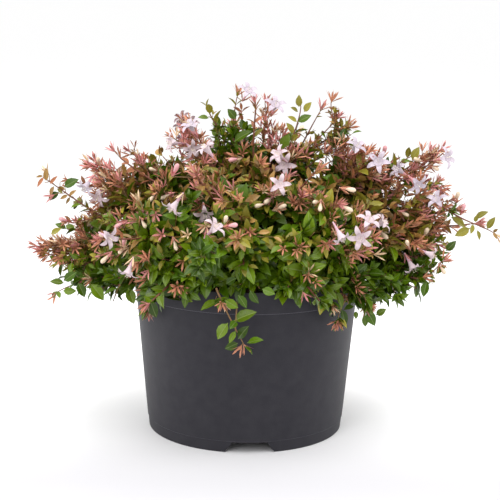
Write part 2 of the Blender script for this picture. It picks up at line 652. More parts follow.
def pairs_along(line, first, end, spacing, node, draw, spread=0.3):
    """Both sides of each node along a line: how far along it is, its place, the heading there, the side
    and the number of the next node."""
    at = first
    while at < end:
        origin, axis = along_line(line, at)
        side = pair_side(axis, node, draw)
        node += 1
        for sign in (1, -1):
            yield at, origin, axis, side * sign, node
        at += spacing * (1 - spread / 2 + spread * draw.random())


class Growth:
    """Everything that grows on the shrub, worked out once and then made into meshes.

    Rows of twigs hold the line, the radii of foot and tip and the age; rows of leaves the place, heading,
    size, owner, tint and kind; rows of tips the place, heading, owner and kind; rows of calyces the
    place, heading, stalk, tint and chance; rows of flowers and buds the place, heading, size and chance.
    """

    def __init__(self):
        self.draw = np.random.default_rng(SEEDS["shrub"])
        self.shoots = lay_out_shoots()
        self.space = Space(self.shoots)
        self.dense = np.array([DENSE_REACH[shoot["tier"]] for shoot in self.shoots], float)
        self.leaf_length = settings("leaf").length / MM
        self.twigs, self.leaves, self.tips, self.calyces, self.flowers, self.buds = ([] for _ in range(6))
        self.grow_shoots()
        self.branch()
        self.add_shown_sprays()
        self.add_sprays_round()
        self.keep_leaves_in_room()
        self.show_leaves()
        self.place_blossom()

    def outwardness(self, point, owner):
        """How far out in its shoot's reach a point lies."""
        return np.linalg.norm(point - CROWN_CENTRE) / (self.shoots[owner]["reach"] + LEAF_REACH)

    def tint_at(self, point):
        """How far the young growth at a place has turned copper, from 0 to 1."""
        height = point[2] + SHRUB_HEIGHT
        side = ramp(abs(point[0]), TINT_SIDES) * ramp(height, TINT_SIDE_HEIGHTS)
        plain, by_height, by_side, by_chance = TINT_SHARES
        tint = plain + by_height * ramp(height, TINT_HEIGHTS) + by_side * side
        return float(np.clip(tint + by_chance * (self.draw.random() - 0.5), 0, 1))

    def stem_of(self, owner):
        """The part of a shoot's line that carries foliage."""
        shoot = self.shoots[owner]
        stem = shoot["line"][shoot["bare"]:]
        return stem[:math.ceil(len(stem) * SHORT_SHARE)] if shoot["name"] in SHORT_SHOOTS else stem

    def add_twig(self, line, radii, owner, age, kind, *leaves):
        """A twig with its leaves, and its tip as a place for calyces and blooms."""
        self.twigs.append((line, *radii, age))
        self.dress_leaves(line, owner, *leaves)
        self.tips.append((*line_end(line), owner, kind))

    def grow_shoots(self):
        """The stems of all shoots, with the leaves that they carry themselves."""
        for owner, shoot in enumerate(self.shoots):
            stem = self.stem_of(owner)
            length = line_length(stem)
            if shoot["tier"] == "trailing":
                self.twigs.append((stem, TRAILING_RADIUS, SHOOT_TIP_RADIUS, "young"))
                self.dress_leaves(stem, owner, length * 0.4, "stem", 1.0, 0.14, 14)
                if shoot["name"] not in PLAIN_TRAILS:
                    self.add_rosette(stem, owner)
            else:
                radii = (SHOOT_RADIUS, SHOOT_TIP_RADIUS)
                self.add_twig(stem, radii, owner, "old", "twig", length * 0.42, "stem")

    def candidates(self, line, owner, spacing, longest, taper, angle, first, last=1.0):
        """Pairs of new twigs along a line: where each starts, where it heads, how long it may be and the
        owner."""
        draw = self.draw
        length = line_length(line) * last
        start = first + spacing * draw.random() * 0.5
        node = int(draw.integers(2))
        found = []
        for at, origin, axis, side, _ in pairs_along(line, start, length - 2, spacing, node, draw):
            heading = leaning(axis, side, angle, draw)
            size = longest * (1 - taper * at / length) * (0.72 + 0.5 * draw.random())
            found.append((origin, heading, size, owner))
        return found

    def fitted(self, candidates, steps):
        """The candidates that find room, each as a bent line as long as its room lets it be, with the
        owner."""
        draw = self.draw
        lines = []
        for origin, heading, size, owner in candidates:
            lift = TWIG_LIFT[self.shoots[owner]["tier"]]
            bend = unit(origin - CROWN_CENTRE) * 0.45 + UP * lift + draw.normal(0, 0.16, 3)
            lines.append(bent_line(origin, heading, size, bend, steps))
        found = {}
        for share in SHORTER:
            left = [i for i in range(len(lines)) if i not in found]
            if not left:
                break
            trial = [spaced(self.cut(lines[i], share), steps) for i in left]
            ends = np.array([[line[steps // 2], line[-1]] for line in trial]).reshape(-1, 3)
            owners = np.repeat([candidates[i][3] for i in left], 2)
            good = self.space.holds(ends, owners, self.dense[owners] - 6).reshape(-1, 2).all(axis=1)
            found.update((i, line) for i, line, fits in zip(left, trial, good) if fits)
        return [(found[i], candidates[i][3]) for i in sorted(found)]

    @staticmethod
    def cut(line, share):
        """The first share of a line, with as many points."""
        length = line_length(line) * share
        return np.array([along_line(line, length * k / (len(line) - 1))[0] for k in range(len(line))])

    def branch(self):
        """Two orders of twigs on every shoot, and leaves on them."""
        twigs, twiglets = [], []
        for owner, shoot in enumerate(self.shoots):
            trails = shoot["tier"] == "trailing"
            spacing, last = (TRAILING_TWIG_SPACING, 0.5) if trails else (TWIG_SPACING, 1.0)
            twigs += self.candidates(
                self.stem_of(owner), owner, spacing, TWIG_LENGTH, TWIG_TAPER, TWIG_ANGLE, 5, last)
        for line, owner in self.fitted(twigs, TWIG_STEPS):
            self.add_twig(line, TWIG_RADII, owner, "old", "twig", 5, "twig")
            twiglets += self.candidates(
                line, owner, TWIGLET_SPACING, TWIGLET_LENGTH, TWIGLET_TAPER, TWIGLET_ANGLE, 7)
        for line, owner in self.fitted(twiglets, TWIGLET_STEPS):
            if self.outwardness(line[-1], owner) >= 0.5 or self.draw.random() >= 0.5:
                self.add_twig(line, TWIGLET_RADII, owner, "young", "twiglet", 4, "twiglet")

    def dress_leaves(self, line, owner, first, kind, leaf_scale=1.0, tint=None, spacing=LEAF_SPACING):
        """Leaves in opposite pairs along a line, smaller towards its tip, and a last pair on it."""
        draw = self.draw
        length = line_length(line)
        tint = self.tint_at(line[-1]) if tint is None else tint
        node = int(draw.integers(2))
        for at, origin, axis, side, node in pairs_along(line, first, length, spacing, node, draw):
            share = at / length
            heading = leaning(axis, side, LEAF_ANGLE, draw)
            size = leaf_scale * (1.08 - 0.42 * share) * (0.82 + 0.36 * draw.random())
            self.leaves.append((origin, heading, size, owner, tint * (0.5 + 0.5 * share), kind))
        tip, axis = line_end(line)
        side = pair_side(axis, node, draw)
        for sign in (1, -1):
            heading = leaning(axis, side * sign, END_LEAF_ANGLE, draw)
            self.leaves.append((tip, heading, leaf_scale * 0.55, owner, tint, kind))

    def add_rosette(self, line, owner):
        """A ring of leaves and a calyx star at the end of a hanging shoot."""
        draw = self.draw
        tip, axis = line_end(line)
        side = pair_side(axis, 0, draw)
        for k in range(ROSETTE_LEAVES):
            heading = leaning(axis, turn_about(side, axis, k * 2.4), ROSETTE_ANGLE, draw)
            size = (0.66 if k % 2 else 0.48) * (0.85 + 0.3 * draw.random())
            tint = 0.2 + 0.3 * draw.random()
            self.leaves.append((tip - axis * (k % 3), heading, size, owner, tint, "spray"))
        self.tips.append((tip, axis, owner, "hanging"))

    def add_spray(self, line, back, kind, owner):
        """A long young shoot that stands out of the crown, with its own short side twigs."""
        draw = self.draw
        tint, scale, leaf_spacing, spacing, longest, _ = HABITS[kind]
        length = line_length(line)
        first = max(4, length - back * 1.05)
        age = "young" if line[-1][1] < YOUNG_STEMS_BEFORE else "old"
        self.add_twig(line, SPRAY_RADII, owner, age, kind, first, "spray", scale, tint, leaf_spacing)
        for at, origin, axis, side, _ in pairs_along(line, first, length - 4, spacing, 0, draw, 0.4):
            size = (0.4 + 0.6 * draw.random()) * longest * (1.15 - 0.5 * at / length)
            short = bent_line(origin, leaning(axis, side, SIDE_TWIG_ANGLE, draw), size, UP * 0.2, 2)
            self.add_twig(short, SIDE_TWIG_RADII, owner, "young", kind, 2.5, "spray", scale * 0.8, tint, 5)

    def line_from_stem(self, tip, back, owner):
        """A spray's line: it leaves its shoot's stem inside the crown and runs straight out to the tip."""
        aim = tip + unit(CROWN_CENTRE - tip) * back
        stem = self.stem_of(owner)
        near = stem[np.argmin(np.linalg.norm(stem - aim, axis=1))]
        start = near * 0.45 + aim * 0.55
        lean = unit(aim - near + 0.001) * back * 0.3
        middle = aim + (tip - aim) * 0.5 + UP * back * 0.06
        return bezier((near, start + lean * 0.3, middle, tip), SPRAY_STEPS)

    def add_shown_sprays(self):
        """The sprays that the photograph shows, with their tips or their whole lines at their pixels."""
        tips = [behind_pixel(pixel, y=y) for pixel, y, _, _ in SPRAYS]
        tips = [tip + unit(CROWN_CENTRE - tip) * SPRAY_OVERHANG for tip in tips]
        owners = self.space.distances(np.array(tips)).argmin(axis=1)
        for tip, owner, (_, _, back, kind) in zip(tips, owners, SPRAYS):
            self.add_spray(self.line_from_stem(tip, back, owner), back, kind, owner)
        trails = [i for i, shoot in enumerate(self.shoots) if shoot["tier"] == "trailing"]
        stems = [self.stem_of(i) for i in trails]
        for pixel, y in HANGING_SPRAYS:
            tip = behind_pixel(pixel, y=y)
            gaps = [np.linalg.norm(stem - tip - UP * HANGING_LENGTH, axis=1) for stem in stems]
            best = int(np.argmin([gap.min() for gap in gaps]))
            at = min(int(gaps[best].argmin()), len(stems[best]) - 2)
            near, ahead = stems[best][at], unit(stems[best][at + 1] - stems[best][at])
            line = bezier((near, near + ahead * HANGING_LEAD, tip + UP * HANGING_DROP, tip), SPRAY_STEPS)
            self.add_spray(line, line_length(line), "hanging", trails[best])
            self.add_rosette(line, trails[best])
        for pixels, y, kind in SHOWN_STEMS:
            line = bezier([behind_pixel(pixel, y=y) for pixel in pixels], SHOWN_STEM_STEPS)
            owner = int(self.space.distances(line[-1:]).argmin())
            self.add_spray(line, line_length(line) * 0.8, kind, owner)

    def add_sprays_round(self):
        """Sprays all round, but for the sides that the photograph shows."""
        draw = self.draw
        free = [i for i, shoot in enumerate(self.shoots) if shoot["tier"] != "trailing"]
        for n in range(SPRAYS_ROUND):
            owner = free[n % len(free)]
            shoot = self.shoots[owner]
            azimuth = shoot["azimuth"] + ROUND_TURN * (2 * draw.random() - 1)
            rise = shoot["rise"] + ROUND_RISE * (2 * draw.random() - 1)
            heading = direction(azimuth, rise)
            if abs(heading[1]) < SIDE_HEADING or (heading[1] < FRONT_HEADING and rise < FRONT_RISE):
                continue
            reach = shoot["reach"] - ROUND_SHORT + ROUND_SHORT_RANGE * draw.random()
            tip = heading * reach + CROWN_CENTRE
            tint = self.tint_at(tip)
            odds = np.array([0.36 * tint, 0.3 * tint, 0.42, 1.1 * (1 - tint) ** 2])
            kind = ROUND_HABITS[int(draw.choice(4, p=odds / odds.sum()))]
            back = ROUND_LENGTH + ROUND_LENGTH_RANGE * draw.random()
            self.add_spray(self.line_from_stem(tip, back, owner), back, kind, owner)

    def keep_leaves_in_room(self):
        """Leaves that would leave the crown or meet the pot are left off."""
        origins, headings, sizes, owners = (column(self.leaves, k) for k in range(4))
        free = np.array([leaf[5] in ("spray", "stem") for leaf in self.leaves])
        beyond = np.where(free, SPRAY_REACH, self.dense[owners])
        good = np.ones(len(origins), bool)
        for share in (0.1, 0.55, 1.0):
            points = origins + headings * (sizes * self.leaf_length * share)[:, None]
            good &= self.space.holds(points, owners, beyond, LEAF_KNIT, free)
        self.leaves = [leaf for leaf, fits in zip(self.leaves, good) if fits]

    def leaf_middles(self):
        """The middle of every leaf."""
        half = column(self.leaves, 2) * self.leaf_length / 2
        return column(self.leaves, 0) + column(self.leaves, 1) * half[:, None]

    def show_leaves(self):
        """The leaves that the photograph shows one by one. Others that would hide them are left off."""
        middles = self.leaf_middles()
        pixels, depth = picture_place(middles)
        kept = ~in_sky(middles)
        shown = []
        for stalk, tip, y, tint in SHOWN_LEAVES:
            origin, end = behind_pixel(stalk, y=y), behind_pixel(tip, y=y - 3)
            near = np.linalg.norm(pixels - np.mean([stalk, tip], axis=0), axis=1) < SHOWN_LEAF_ROOM
            kept &= ~(near & (depth < picture_place(origin[None])[1] + SHOWN_LEAF_DEPTH))
            owner = int(self.space.distances(origin[None]).argmin())
            size = np.linalg.norm(end - origin) / self.leaf_length
            shown.append((origin, unit(end - origin), size, owner, tint, "shown"))
        self.leaves = [leaf for leaf, keep in zip(self.leaves, kept) if keep] + shown
        self.twigs = [twig for twig in self.twigs if not in_sky(twig[0][[len(twig[0]) // 2, -1]]).all()]

    def place_blossom(self):
        """Flowers and buds where the photograph shows them and behind, and calyx stars on the tips."""
        draw, tips = self.draw, self.tips
        places, headings = column(tips, 0), column(tips, 1)
        outward = unit(places - CROWN_CENTRE)
        reach = np.array([self.outwardness(tip[0], tip[2]) for tip in tips])
        pixels, depth = picture_place(places)
        right, up, forward = camera_axes()
        used = np.zeros(len(tips), bool)
        seen = []

        def seat(pixel, foot, length, ahead, view):
            """A bloom's foot and heading, so that its mouth and foot show at their pixels."""
            gap = np.linalg.norm(pixels - np.array(pixel) - np.array(foot), axis=1)
            score = gap + SEAT_DEPTH_COST * (depth - depth.min()) + np.where(used, SEAT_USED_COST, 0)
            best = int(score.argmin())
            used[best] = True
            mouth_depth = depth[best] - ahead
            sideways = (-right * foot[0] + up * foot[1]) * mouth_depth / FOCAL_PIXELS
            facing = float(np.clip(1.25 - math.hypot(*foot) / 11, 0.2, 0.98))
            heading = unit(sideways) * math.sqrt(1 - facing ** 2) - forward * facing
            start = behind_pixel(pixel, depth=mouth_depth) - heading * length
            seen.append((pixel, mouth_depth, view))
            self.twigs.append((np.array([places[best], start]), *BLOOM_STALK_RADII, "young"))
            self.calyces.append((start, heading, 0.3, BLOOM_TINT, draw.random()))
            self.add_star(places[best], headings[best], 1, BLOOM_TINT, SPRAY_STALK)
            return start, heading

        for pixel, foot in FLOWERS:
            size = 1.0 + 0.14 * draw.random()
            seated = seat(pixel, foot, FLOWER_LENGTH * size, FLOWER_FORWARD, FLOWER_VIEW)
            off = np.abs(np.array(pixel) - CROWN_PIXEL) / CROWN_PIXELS_OUT
            lilac = pixel[1] < CROWN_PIXEL[1] and math.hypot(*off) > LILAC_FROM
            self.flowers.append((*seated, size, 0.5 * draw.random() + 0.5 * lilac))
        for pixel, foot in BUDS:
            size = 0.8 + 0.2 * draw.random()
            seated = seat(pixel, foot, BUD_LENGTH * size * 0.82, BUD_FORWARD, BUD_VIEW)
            self.buds.append((*seated, size, draw.random()))
        outer = np.flatnonzero((reach > ROUND_BLOOM_REACH) & ~used)
        draw.shuffle(outer)
        high = places[:, 2] + SHRUB_HEIGHT > ROUND_BLOOM_HEIGHT
        behind = [i for i in outer if outward[i][1] > ROUND_BLOOM_BACK and high[i]]
        for i in behind[:FLOWERS_ROUND]:
            heading = unit(outward[i] + draw.normal(0, 0.35, 3))
            self.flowers.append((places[i], heading, 0.9 + 0.2 * draw.random(), 0.7 * draw.random()))
            self.add_star(places[i], headings[i], 2, BLOOM_TINT)
        for i in behind[FLOWERS_ROUND:FLOWERS_ROUND + BUDS_ROUND]:
            heading = unit(outward[i] + draw.normal(0, 0.5, 3))
            self.buds.append((places[i], heading, 0.9 + 0.2 * draw.random(), draw.random()))
        for i, (place, heading, _, kind) in enumerate(tips):
            sprays = kind in HABITS
            odds = HABITS[kind][5] if sprays else self.star_odds(place, reach[i])
            if draw.random() < odds:
                count, stalk = 2 if kind == "twig" else 1, SPRAY_STALK if sprays else TWIG_STALK
                self.add_star(place, heading, count, self.tint_at(place), stalk)
        self.clear_view(seen)

    @staticmethod
    def star_odds(place, reach):
        """How likely the tip of a twig inside the crown carries a calyx star."""
        height = place[2] + SHRUB_HEIGHT
        odds = STAR_ODDS + STAR_ODDS_HIGH * ramp(height, STAR_HEIGHTS)
        odds += STAR_ODDS_ASIDE * ramp(abs(place[0]), STAR_SIDES) * (height > STAR_SIDE_HEIGHT)
        return odds * (reach > STAR_REACH) * (0.5 + 0.7 * (reach > STAR_FULL_REACH))

    def clear_view(self, seen):
        """Leaves and calyces that would hide a bloom from the front are left off."""
        spots, depths, radii = (column(seen, k) for k in range(3))

        def shown(points):
            pixels, depth = picture_place(points)
            gap = np.linalg.norm(pixels[:, None] - spots[None], axis=2)
            return ~((gap < radii) & (depth[:, None] < depths + 1)).any(axis=1)

        kept = shown(self.leaf_middles())
        self.leaves = [leaf for leaf, keep in zip(self.leaves, kept) if keep or leaf[5] == "shown"]
        places, headings, stalks = (column(self.calyces, k) for k in range(3))
        middles = places + headings * (stalks + 4)[:, None]
        kept = shown(middles) & ~in_sky(middles)
        self.calyces = [row for row, keep in zip(self.calyces, kept) if keep]

    def add_star(self, place, heading, count, tint, stalk_length=TWIG_STALK):
        """Calyces on short stalks that spread from a twig's tip."""
        draw = self.draw
        outward = unit(place - CROWN_CENTRE)
        for _ in range(count + int(draw.integers(2))):
            spread = unit(heading + outward * 0.5 + draw.normal(0, 0.42, 3))
            stalk = stalk_length * (0.3 + 0.9 * draw.random())
            self.calyces.append((place, spread, stalk, tint, draw.random()))


# Mesh making.
def basis(along, facing, roll=0.0):
    """Axes whose X is along the heading and whose Z is as near as can be to the facing."""
    x = unit(along)
    y = np.cross(facing, x)
    y = unit(np.where(np.linalg.norm(y, axis=-1, keepdims=True) < 1e-6, np.array([0.0, 1.0, 0.0]), y))
    z = np.cross(x, y)
    roll = np.asarray(roll)[..., None]
    return np.stack([x, y * np.cos(roll) + z * np.sin(roll), z * np.cos(roll) - y * np.sin(roll)], axis=-1)


class Shape:
    """Corners and faces of one small thing, with a finish number for each face."""

    def __init__(self):
        self.corners = []
        self.faces = []
        self.finishes = []

    def grid(self, rows, finish=0, closed=False):
        """Quads between rows of corners. A closed grid joins its last column to its first."""
        start = len(self.corners)
        across = len(rows[0])
        for row in rows:
            self.corners.extend(row)
        for i in range(len(rows) - 1):
            for j in range(across if closed else across - 1):
                k = (j + 1) % across
                a, b = start + i * across + j, start + i * across + k
                self.faces.append((a, b, b + across, a + across))
                self.finishes.append(finish(i, j) if callable(finish) else finish)
        return self

    def close_ends(self, low, high, across):
        """Fans from two middles that close the first and the last row of a closed grid."""
        middle = len(self.corners)
        top = middle - across
        self.corners += [low, high]
        for j in range(across):
            k = (j + 1) % across
            self.faces += [(middle, k, j), (middle + 1, top + j, top + k)]
            self.finishes += [0, 0]
        return self

    def triangles(self):
        """Corner array, triangle array and finish array."""
        faces, finishes = [], []
        corners = np.array(self.corners, float)
        for face, finish in zip(self.faces, self.finishes):
            for k in range(1, len(face) - 1):
                a, b, c = face[0], face[k], face[k + 1]
                area = np.linalg.norm(np.cross(corners[b] - corners[a], corners[c] - corners[a]))
                if area > 1e-7:
                    faces.append((a, b, c))
                    finishes.append(finish)
        return corners, np.array(faces, int), np.array(finishes, int)


class Heap:
    """Many copies of small shapes, gathered into one mesh."""

    def __init__(self):
        self.corners = []
        self.faces = []
        self.finishes = []
        self.count = 0

    def add(self, shape, places, axes, scales, finish_shift):
        """Copies of a shape at places, turned to axes and scaled, each with its own finish shift."""
        corners, faces, finishes = shape
        scaled = corners[None] * np.asarray(scales, float).reshape(len(places), 1, -1)
        moved = np.einsum("nij,nkj->nki", axes, scaled) + np.asarray(places)[:, None]
        shift = np.arange(len(places))[:, None, None] * len(corners) + self.count
        self.corners.append(moved.reshape(-1, 3))
        self.faces.append((faces[None] + shift).reshape(-1, 3))
        self.finishes.append((finishes[None] + np.asarray(finish_shift)[:, None]).reshape(-1))
        self.count += len(places) * len(corners)

    def mesh(self, name):
        """One mesh of everything in the heap, in metres."""
        corners = (np.concatenate(self.corners) + UP * SHRUB_HEIGHT) * MM
        return triangle_mesh(name, corners, np.concatenate(self.faces), np.concatenate(self.finishes))


def triangle_mesh(name, corners, faces, finishes, smooth=True):
    """A Blender mesh from arrays."""
    mesh = bpy.data.meshes.new(name)
    mesh.vertices.add(len(corners))
    mesh.vertices.foreach_set("co", corners.astype(np.float32).ravel())
    mesh.loops.add(len(faces) * 3)
    mesh.loops.foreach_set("vertex_index", faces.astype(np.int32).ravel())
    mesh.polygons.add(len(faces))
    mesh.polygons.foreach_set("loop_start", np.arange(0, len(faces) * 3, 3, dtype=np.int32))
    mesh.polygons.foreach_set("material_index", finishes.astype(np.int32))
    mesh.polygons.foreach_set("use_smooth", np.full(len(faces), smooth))
    mesh.update(calc_edges=True)
    mesh.validate()
    return mesh


def add_object(name, data):
    """A new object in the scene."""
    made = bpy.data.objects.new(name, data)
    bpy.context.scene.collection.objects.link(made)
    return made


def place_piece(mesh, materials, replaced=()):
    """An object for a mesh, riding on the plant's one body."""
    piece = add_object(mesh.name, mesh)
    for material in materials:
        mesh.materials.append(material)
    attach(piece, "root")
    if replaced:
        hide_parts(*replaced)
    return piece


def place_tubes(name, lines, sides, bark, replaced=(), lowest=-math.inf):
    """One piece of bark round lines of points, in the shrub's own frame."""
    corners, faces = tube(lines, sides)
    corners[:, 2] = np.maximum(corners[:, 2], lowest)
    mesh = triangle_mesh(name, (corners + UP * SHRUB_HEIGHT) * MM, faces, np.zeros(len(faces)))
    place_piece(mesh, [bark], replaced)


def place_copies(name, shape, places, headings, spins, scales, finishes, materials):
    """One piece of many copies of a shape, each with its foot at a place and turned to a heading."""
    heap = Heap()
    heap.add(shape, places, basis(headings, np.broadcast_to(UP, headings.shape), spins), scales, finishes)
    place_piece(heap.mesh(name), materials)


def evenly(count):
    """Angles evenly round a full turn."""
    return np.arange(count) * FULL_TURN / count


def tube(lines, sides):
    """Tubes round lines of points, as arrays. Each line has its own row of radii."""
    corners, faces, start = [], [], 0
    turns = evenly(sides)[None, :, None]
    facing = np.array([0.31, 0.17, 0.93])
    for line, radii in lines:
        heading = unit(np.gradient(line, axis=0))
        axes = basis(heading, np.broadcast_to(facing, heading.shape))[:, None]
        ring = axes[..., 1] * np.cos(turns) + axes[..., 2] * np.sin(turns)
        radii = np.asarray(radii, float)
        radii = radii[:, None] if radii.ndim == 1 else radii
        corners.append((line[:, None] + ring * radii[:, :, None]).reshape(-1, 3))
        rows = len(line)
        i, j = np.meshgrid(np.arange(rows - 1), np.arange(sides), indexing="ij")
        a, b = i * sides + j, i * sides + (j + 1) % sides
        quads = np.stack([a, b, b + sides, a, b + sides, a + sides], axis=-1).reshape(-1, 3)
        last = (rows - 1) * sides
        caps = [(0, m + 1, m) for m in range(1, sides - 1)]
        caps += [(last, last + m, last + m + 1) for m in range(1, sides - 1)]
        faces.append(np.concatenate([quads, np.array(caps)]) + start)
        start += rows * sides
    return np.concatenate(corners), np.concatenate(faces)


# Small shapes of the plant.
def leaf_shape(stations, ribbed):
    """A leaf one unit long and one unit wide, keeled, arched and pointed, with a midrib strip if ribbed."""
    rows = []
    for t, half in stations:
        arch, lift = 0.16 * t - 0.3 * t * t, 0.24 * half
        side = [(half, arch + lift)]
        if ribbed:
            side += [(half * 0.55, arch + lift * 0.72), (min(MIDRIB, half * 0.5), arch)]
        left = [(t, -y, z) for y, z in side]
        right = [(t, y, z) for y, z in reversed(side)]
        rows.append(left + ([] if ribbed else [(t, 0, arch)]) + right)
    return Shape().grid(rows, lambda i, j: int(ribbed and j == 2)).triangles()


def spokes(count, shift=0.0):
    """Directions evenly round the X axis, each with the one across it."""
    for turn in (np.arange(count) + shift) * FULL_TURN / count:
        yield np.array([0, math.cos(turn), math.sin(turn)]), np.array([0, -math.sin(turn), math.cos(turn)])


def sepal_ring_shape():
    """Five narrow sepals that spread like a star from a calyx, one unit long."""
    shape = Shape()
    for out, across in spokes(5):
        rows = []
        for t, half in ((0.02, 0.03), (0.35, 0.07), (0.7, 0.08), (1.0, 0.012)):
            centre = out * (0.04 + 0.5 * t ** 1.15) + np.array([0.88 * t - 0.1 * t * t, 0, 0])
            keel = out * 0.03 * math.sin(math.pi * t)
            rows.append([centre - across * half, centre - keel, centre + across * half])
        shape.grid(rows)
    return shape.triangles()


def bloom_rows(profile, sides):
    """Rings round the X axis from pairs of place and radius."""
    return [[(x, r * math.cos(a), r * math.sin(a)) for a in evenly(sides)] for x, r in profile]


def flower_shape(tube_length, throat, spread):
    """A funnel flower: a slender tube that widens to a throat, five pointed, recurved lobes and four
    stamens."""
    sides = 10
    along = np.array([1.0, 0, 0])
    profile = ((0, 0.55), (0.28, 0.75), (0.55, 1.2), (0.8, 2.2), (1, throat))
    rows = bloom_rows([(x * tube_length, r) for x, r in profile], sides)
    shape = Shape().grid(rows, lambda i, j: 1 if i < 2 else 0, closed=True)
    for out, across in spokes(5):
        rows = []
        for t, half in ((0, 0.6), (0.25, 0.6), (0.55, 0.54), (0.82, 0.33), (1.0, 0.03)):
            width = across * half * throat * 0.9
            forward = tube_length + 2.1 * math.sin(min(1.0, t * 1.3) * math.pi / 2) - 3.0 * t * t
            centre = out * (throat * 0.9 + (spread - throat) * 1.04 * t) + along * forward
            dip = along * 0.5 * (1 - t)
            rows.append([centre - width, centre - width * 0.5 - dip * 0.7, centre - dip,
                         centre + width * 0.5 - dip * 0.7, centre + width])
        shape.grid(rows)
    cone = ((0.97 * tube_length, 0.93 * throat), (0.84 * tube_length, 0.05))
    shape.grid(bloom_rows(cone, sides), closed=True)
    for side, across in spokes(4, 0.5):
        foot, top = along * 0.4 * tube_length + side * 0.5, along * (tube_length + 1.5) + side * 1.3
        thin, anther = across * 0.16, top + along * 1.3
        shape.grid([[foot - thin, foot + thin], [top - thin, top + thin],
                    [anther + thin * 3, anther - thin * 3]], 2)
    return shape.triangles()


def bud_shape(length):
    """A closed flower bud like a slim club, swollen near its end."""
    profile = ((0, 0.45), (0.25, 0.6), (0.42, 0.95), (0.58, 1.55), (0.74, 2.0), (0.87, 1.9), (0.96, 1.15),
               (1.0, 0.1))
    rows = bloom_rows([(x * length, r) for x, r in profile], 8)
    return Shape().grid(rows, lambda i, j: 1 if i < 2 else 0, closed=True).triangles()


# Colours and materials.
def from_hex(text):
    """An sRGB hex colour as linear red, green, blue and alpha."""
    values = [int(text[i:i + 2], 16) / 255 for i in (0, 2, 4)]
    linear = [v / 12.92 if v <= 0.04045 else ((v + 0.055) / 1.055) ** 2.4 for v in values]
    return (*linear, 1.0)


def add_node(tree, kind, inputs=None, **values):
    """A node with its own values set, and each of its inputs set to a number or linked to a socket."""
    made = tree.nodes.new(kind)
    for name, value in values.items():
        setattr(made, name, value)
    for name, value in (inputs or {}).items():
        if isinstance(value, bpy.types.NodeSocket):
            tree.links.new(value, made.inputs[name])
        else:
            made.inputs[name].default_value = value
    return made


def start_material(name):
    """An empty material with its output, its shader and object coordinates."""
    material = bpy.data.materials.new(name)
    material.use_nodes = True
    tree = material.node_tree
    tree.nodes.clear()
    output = add_node(tree, "ShaderNodeOutputMaterial")
    shader = add_node(tree, "ShaderNodeBsdfPrincipled")
    tree.links.new(shader.outputs["BSDF"], output.inputs["Surface"])
    place = add_node(tree, "ShaderNodeTexCoord").outputs["Object"]
    return material, tree, shader, place


def finish_shader(tree, shader, colour, roughness, height, bump, **plain):
    """Links colour, roughness and bump to a shader, and sets its plain values."""
    relief = add_node(tree, "ShaderNodeBump", {"Height": height, "Strength": bump[0], "Distance": bump[1]})
    tree.links.new(colour, shader.inputs["Base Color"])
    tree.links.new(roughness, shader.inputs["Roughness"])
    tree.links.new(relief.outputs["Normal"], shader.inputs["Normal"])
    for name, value in plain.items():
        shader.inputs[name.replace("_", " ")].default_value = value


def ranged(tree, value, low, high):
    """A value from 0 to 1 stretched to run from low to high."""
    inputs = {"Value": value, "To Min": low, "To Max": high}
    return add_node(tree, "ShaderNodeMapRange", inputs).outputs["Result"]


def mixed(tree, factor, first, second, blend="MIX"):
    """Two colours blended by a factor."""
    made = add_node(tree, "ShaderNodeMix", {"Factor": factor}, data_type="RGBA", blend_type=blend)
    for socket, value in ((made.inputs[6], first), (made.inputs[7], second)):
        if isinstance(value, bpy.types.NodeSocket):
            tree.links.new(value, socket)
        else:
            socket.default_value = value
    return made.outputs[2]


def noise(tree, place, grain_mm, detail, **more):
    """Noise whose grain has a size in millimetres."""
    inputs = {"Vector": place, "Scale": 1 / (grain_mm * MM), "Detail": detail, **more}
    return add_node(tree, "ShaderNodeTexNoise", inputs).outputs["Fac"]


def shades(colour, dark, light):
    """A darker and a lighter shade of a colour, from the factors of both."""
    return [[min(1, v * factor) for v in colour[:3]] + [1] for factor in (dark, light)]


def living_surface(name, colour, grain_mm, roughness, spread, bump, **plain):
    """A plant surface: its colour varies a little from one leaf to the next and mottles across it."""
    material, tree, shader, place = start_material(name)
    island = add_node(tree, "ShaderNodeNewGeometry").outputs["Random Per Island"]
    mottle = noise(tree, place, grain_mm, 3.0)
    by_leaf = mixed(tree, island, *shades(colour, 1 - spread, 1 + spread))
    shaded = mixed(tree, 1.0, by_leaf, ranged(tree, mottle, 0.78, 1.22), "MULTIPLY")
    rough = ranged(tree, mottle, roughness - 0.07, roughness + 0.07)
    finish_shader(tree, shader, shaded, rough, mottle, bump, **plain)
    return material


def leaf_materials():
    """Abelia leaf, a living blade under a smooth waxy cuticle: it shines softly, over a fine net of
    veins. The young blades are olive, bronze and russet."""
    made = []
    for tint in LEAF_TINTS:
        colour = linear_of(getattr(settings("leaf"), tint))
        rib = [min(1, 0.82 * v + 0.18 * w) for v, w in zip(colour, from_hex("B7C08A"))]
        made += [
            living_surface(f"abelia_leaf_{tint}", colour, 1.6, 0.3, 0.34, (0.35, 0.0006), IOR=1.45,
                           Specular_IOR_Level=0.36),
            living_surface(f"abelia_midrib_{tint}", rib, 0.8, 0.45, 0.1, (0.2, 0.0004), IOR=1.45,
                           Specular_IOR_Level=0.3),
        ]
    return made


def sepal_materials():
    """Abelia sepals, thin papery bracts dried by the sun: matt, from russet to pink and buff."""
    return [living_surface(f"abelia_sepal_{name}", linear_of(getattr(settings("blossom"), name)), 1.1, 0.55,
                           0.2, (0.3, 0.0005), IOR=1.42, Specular_IOR_Level=0.25)
            for name in ("copper", "pink", "rust", "buff")]


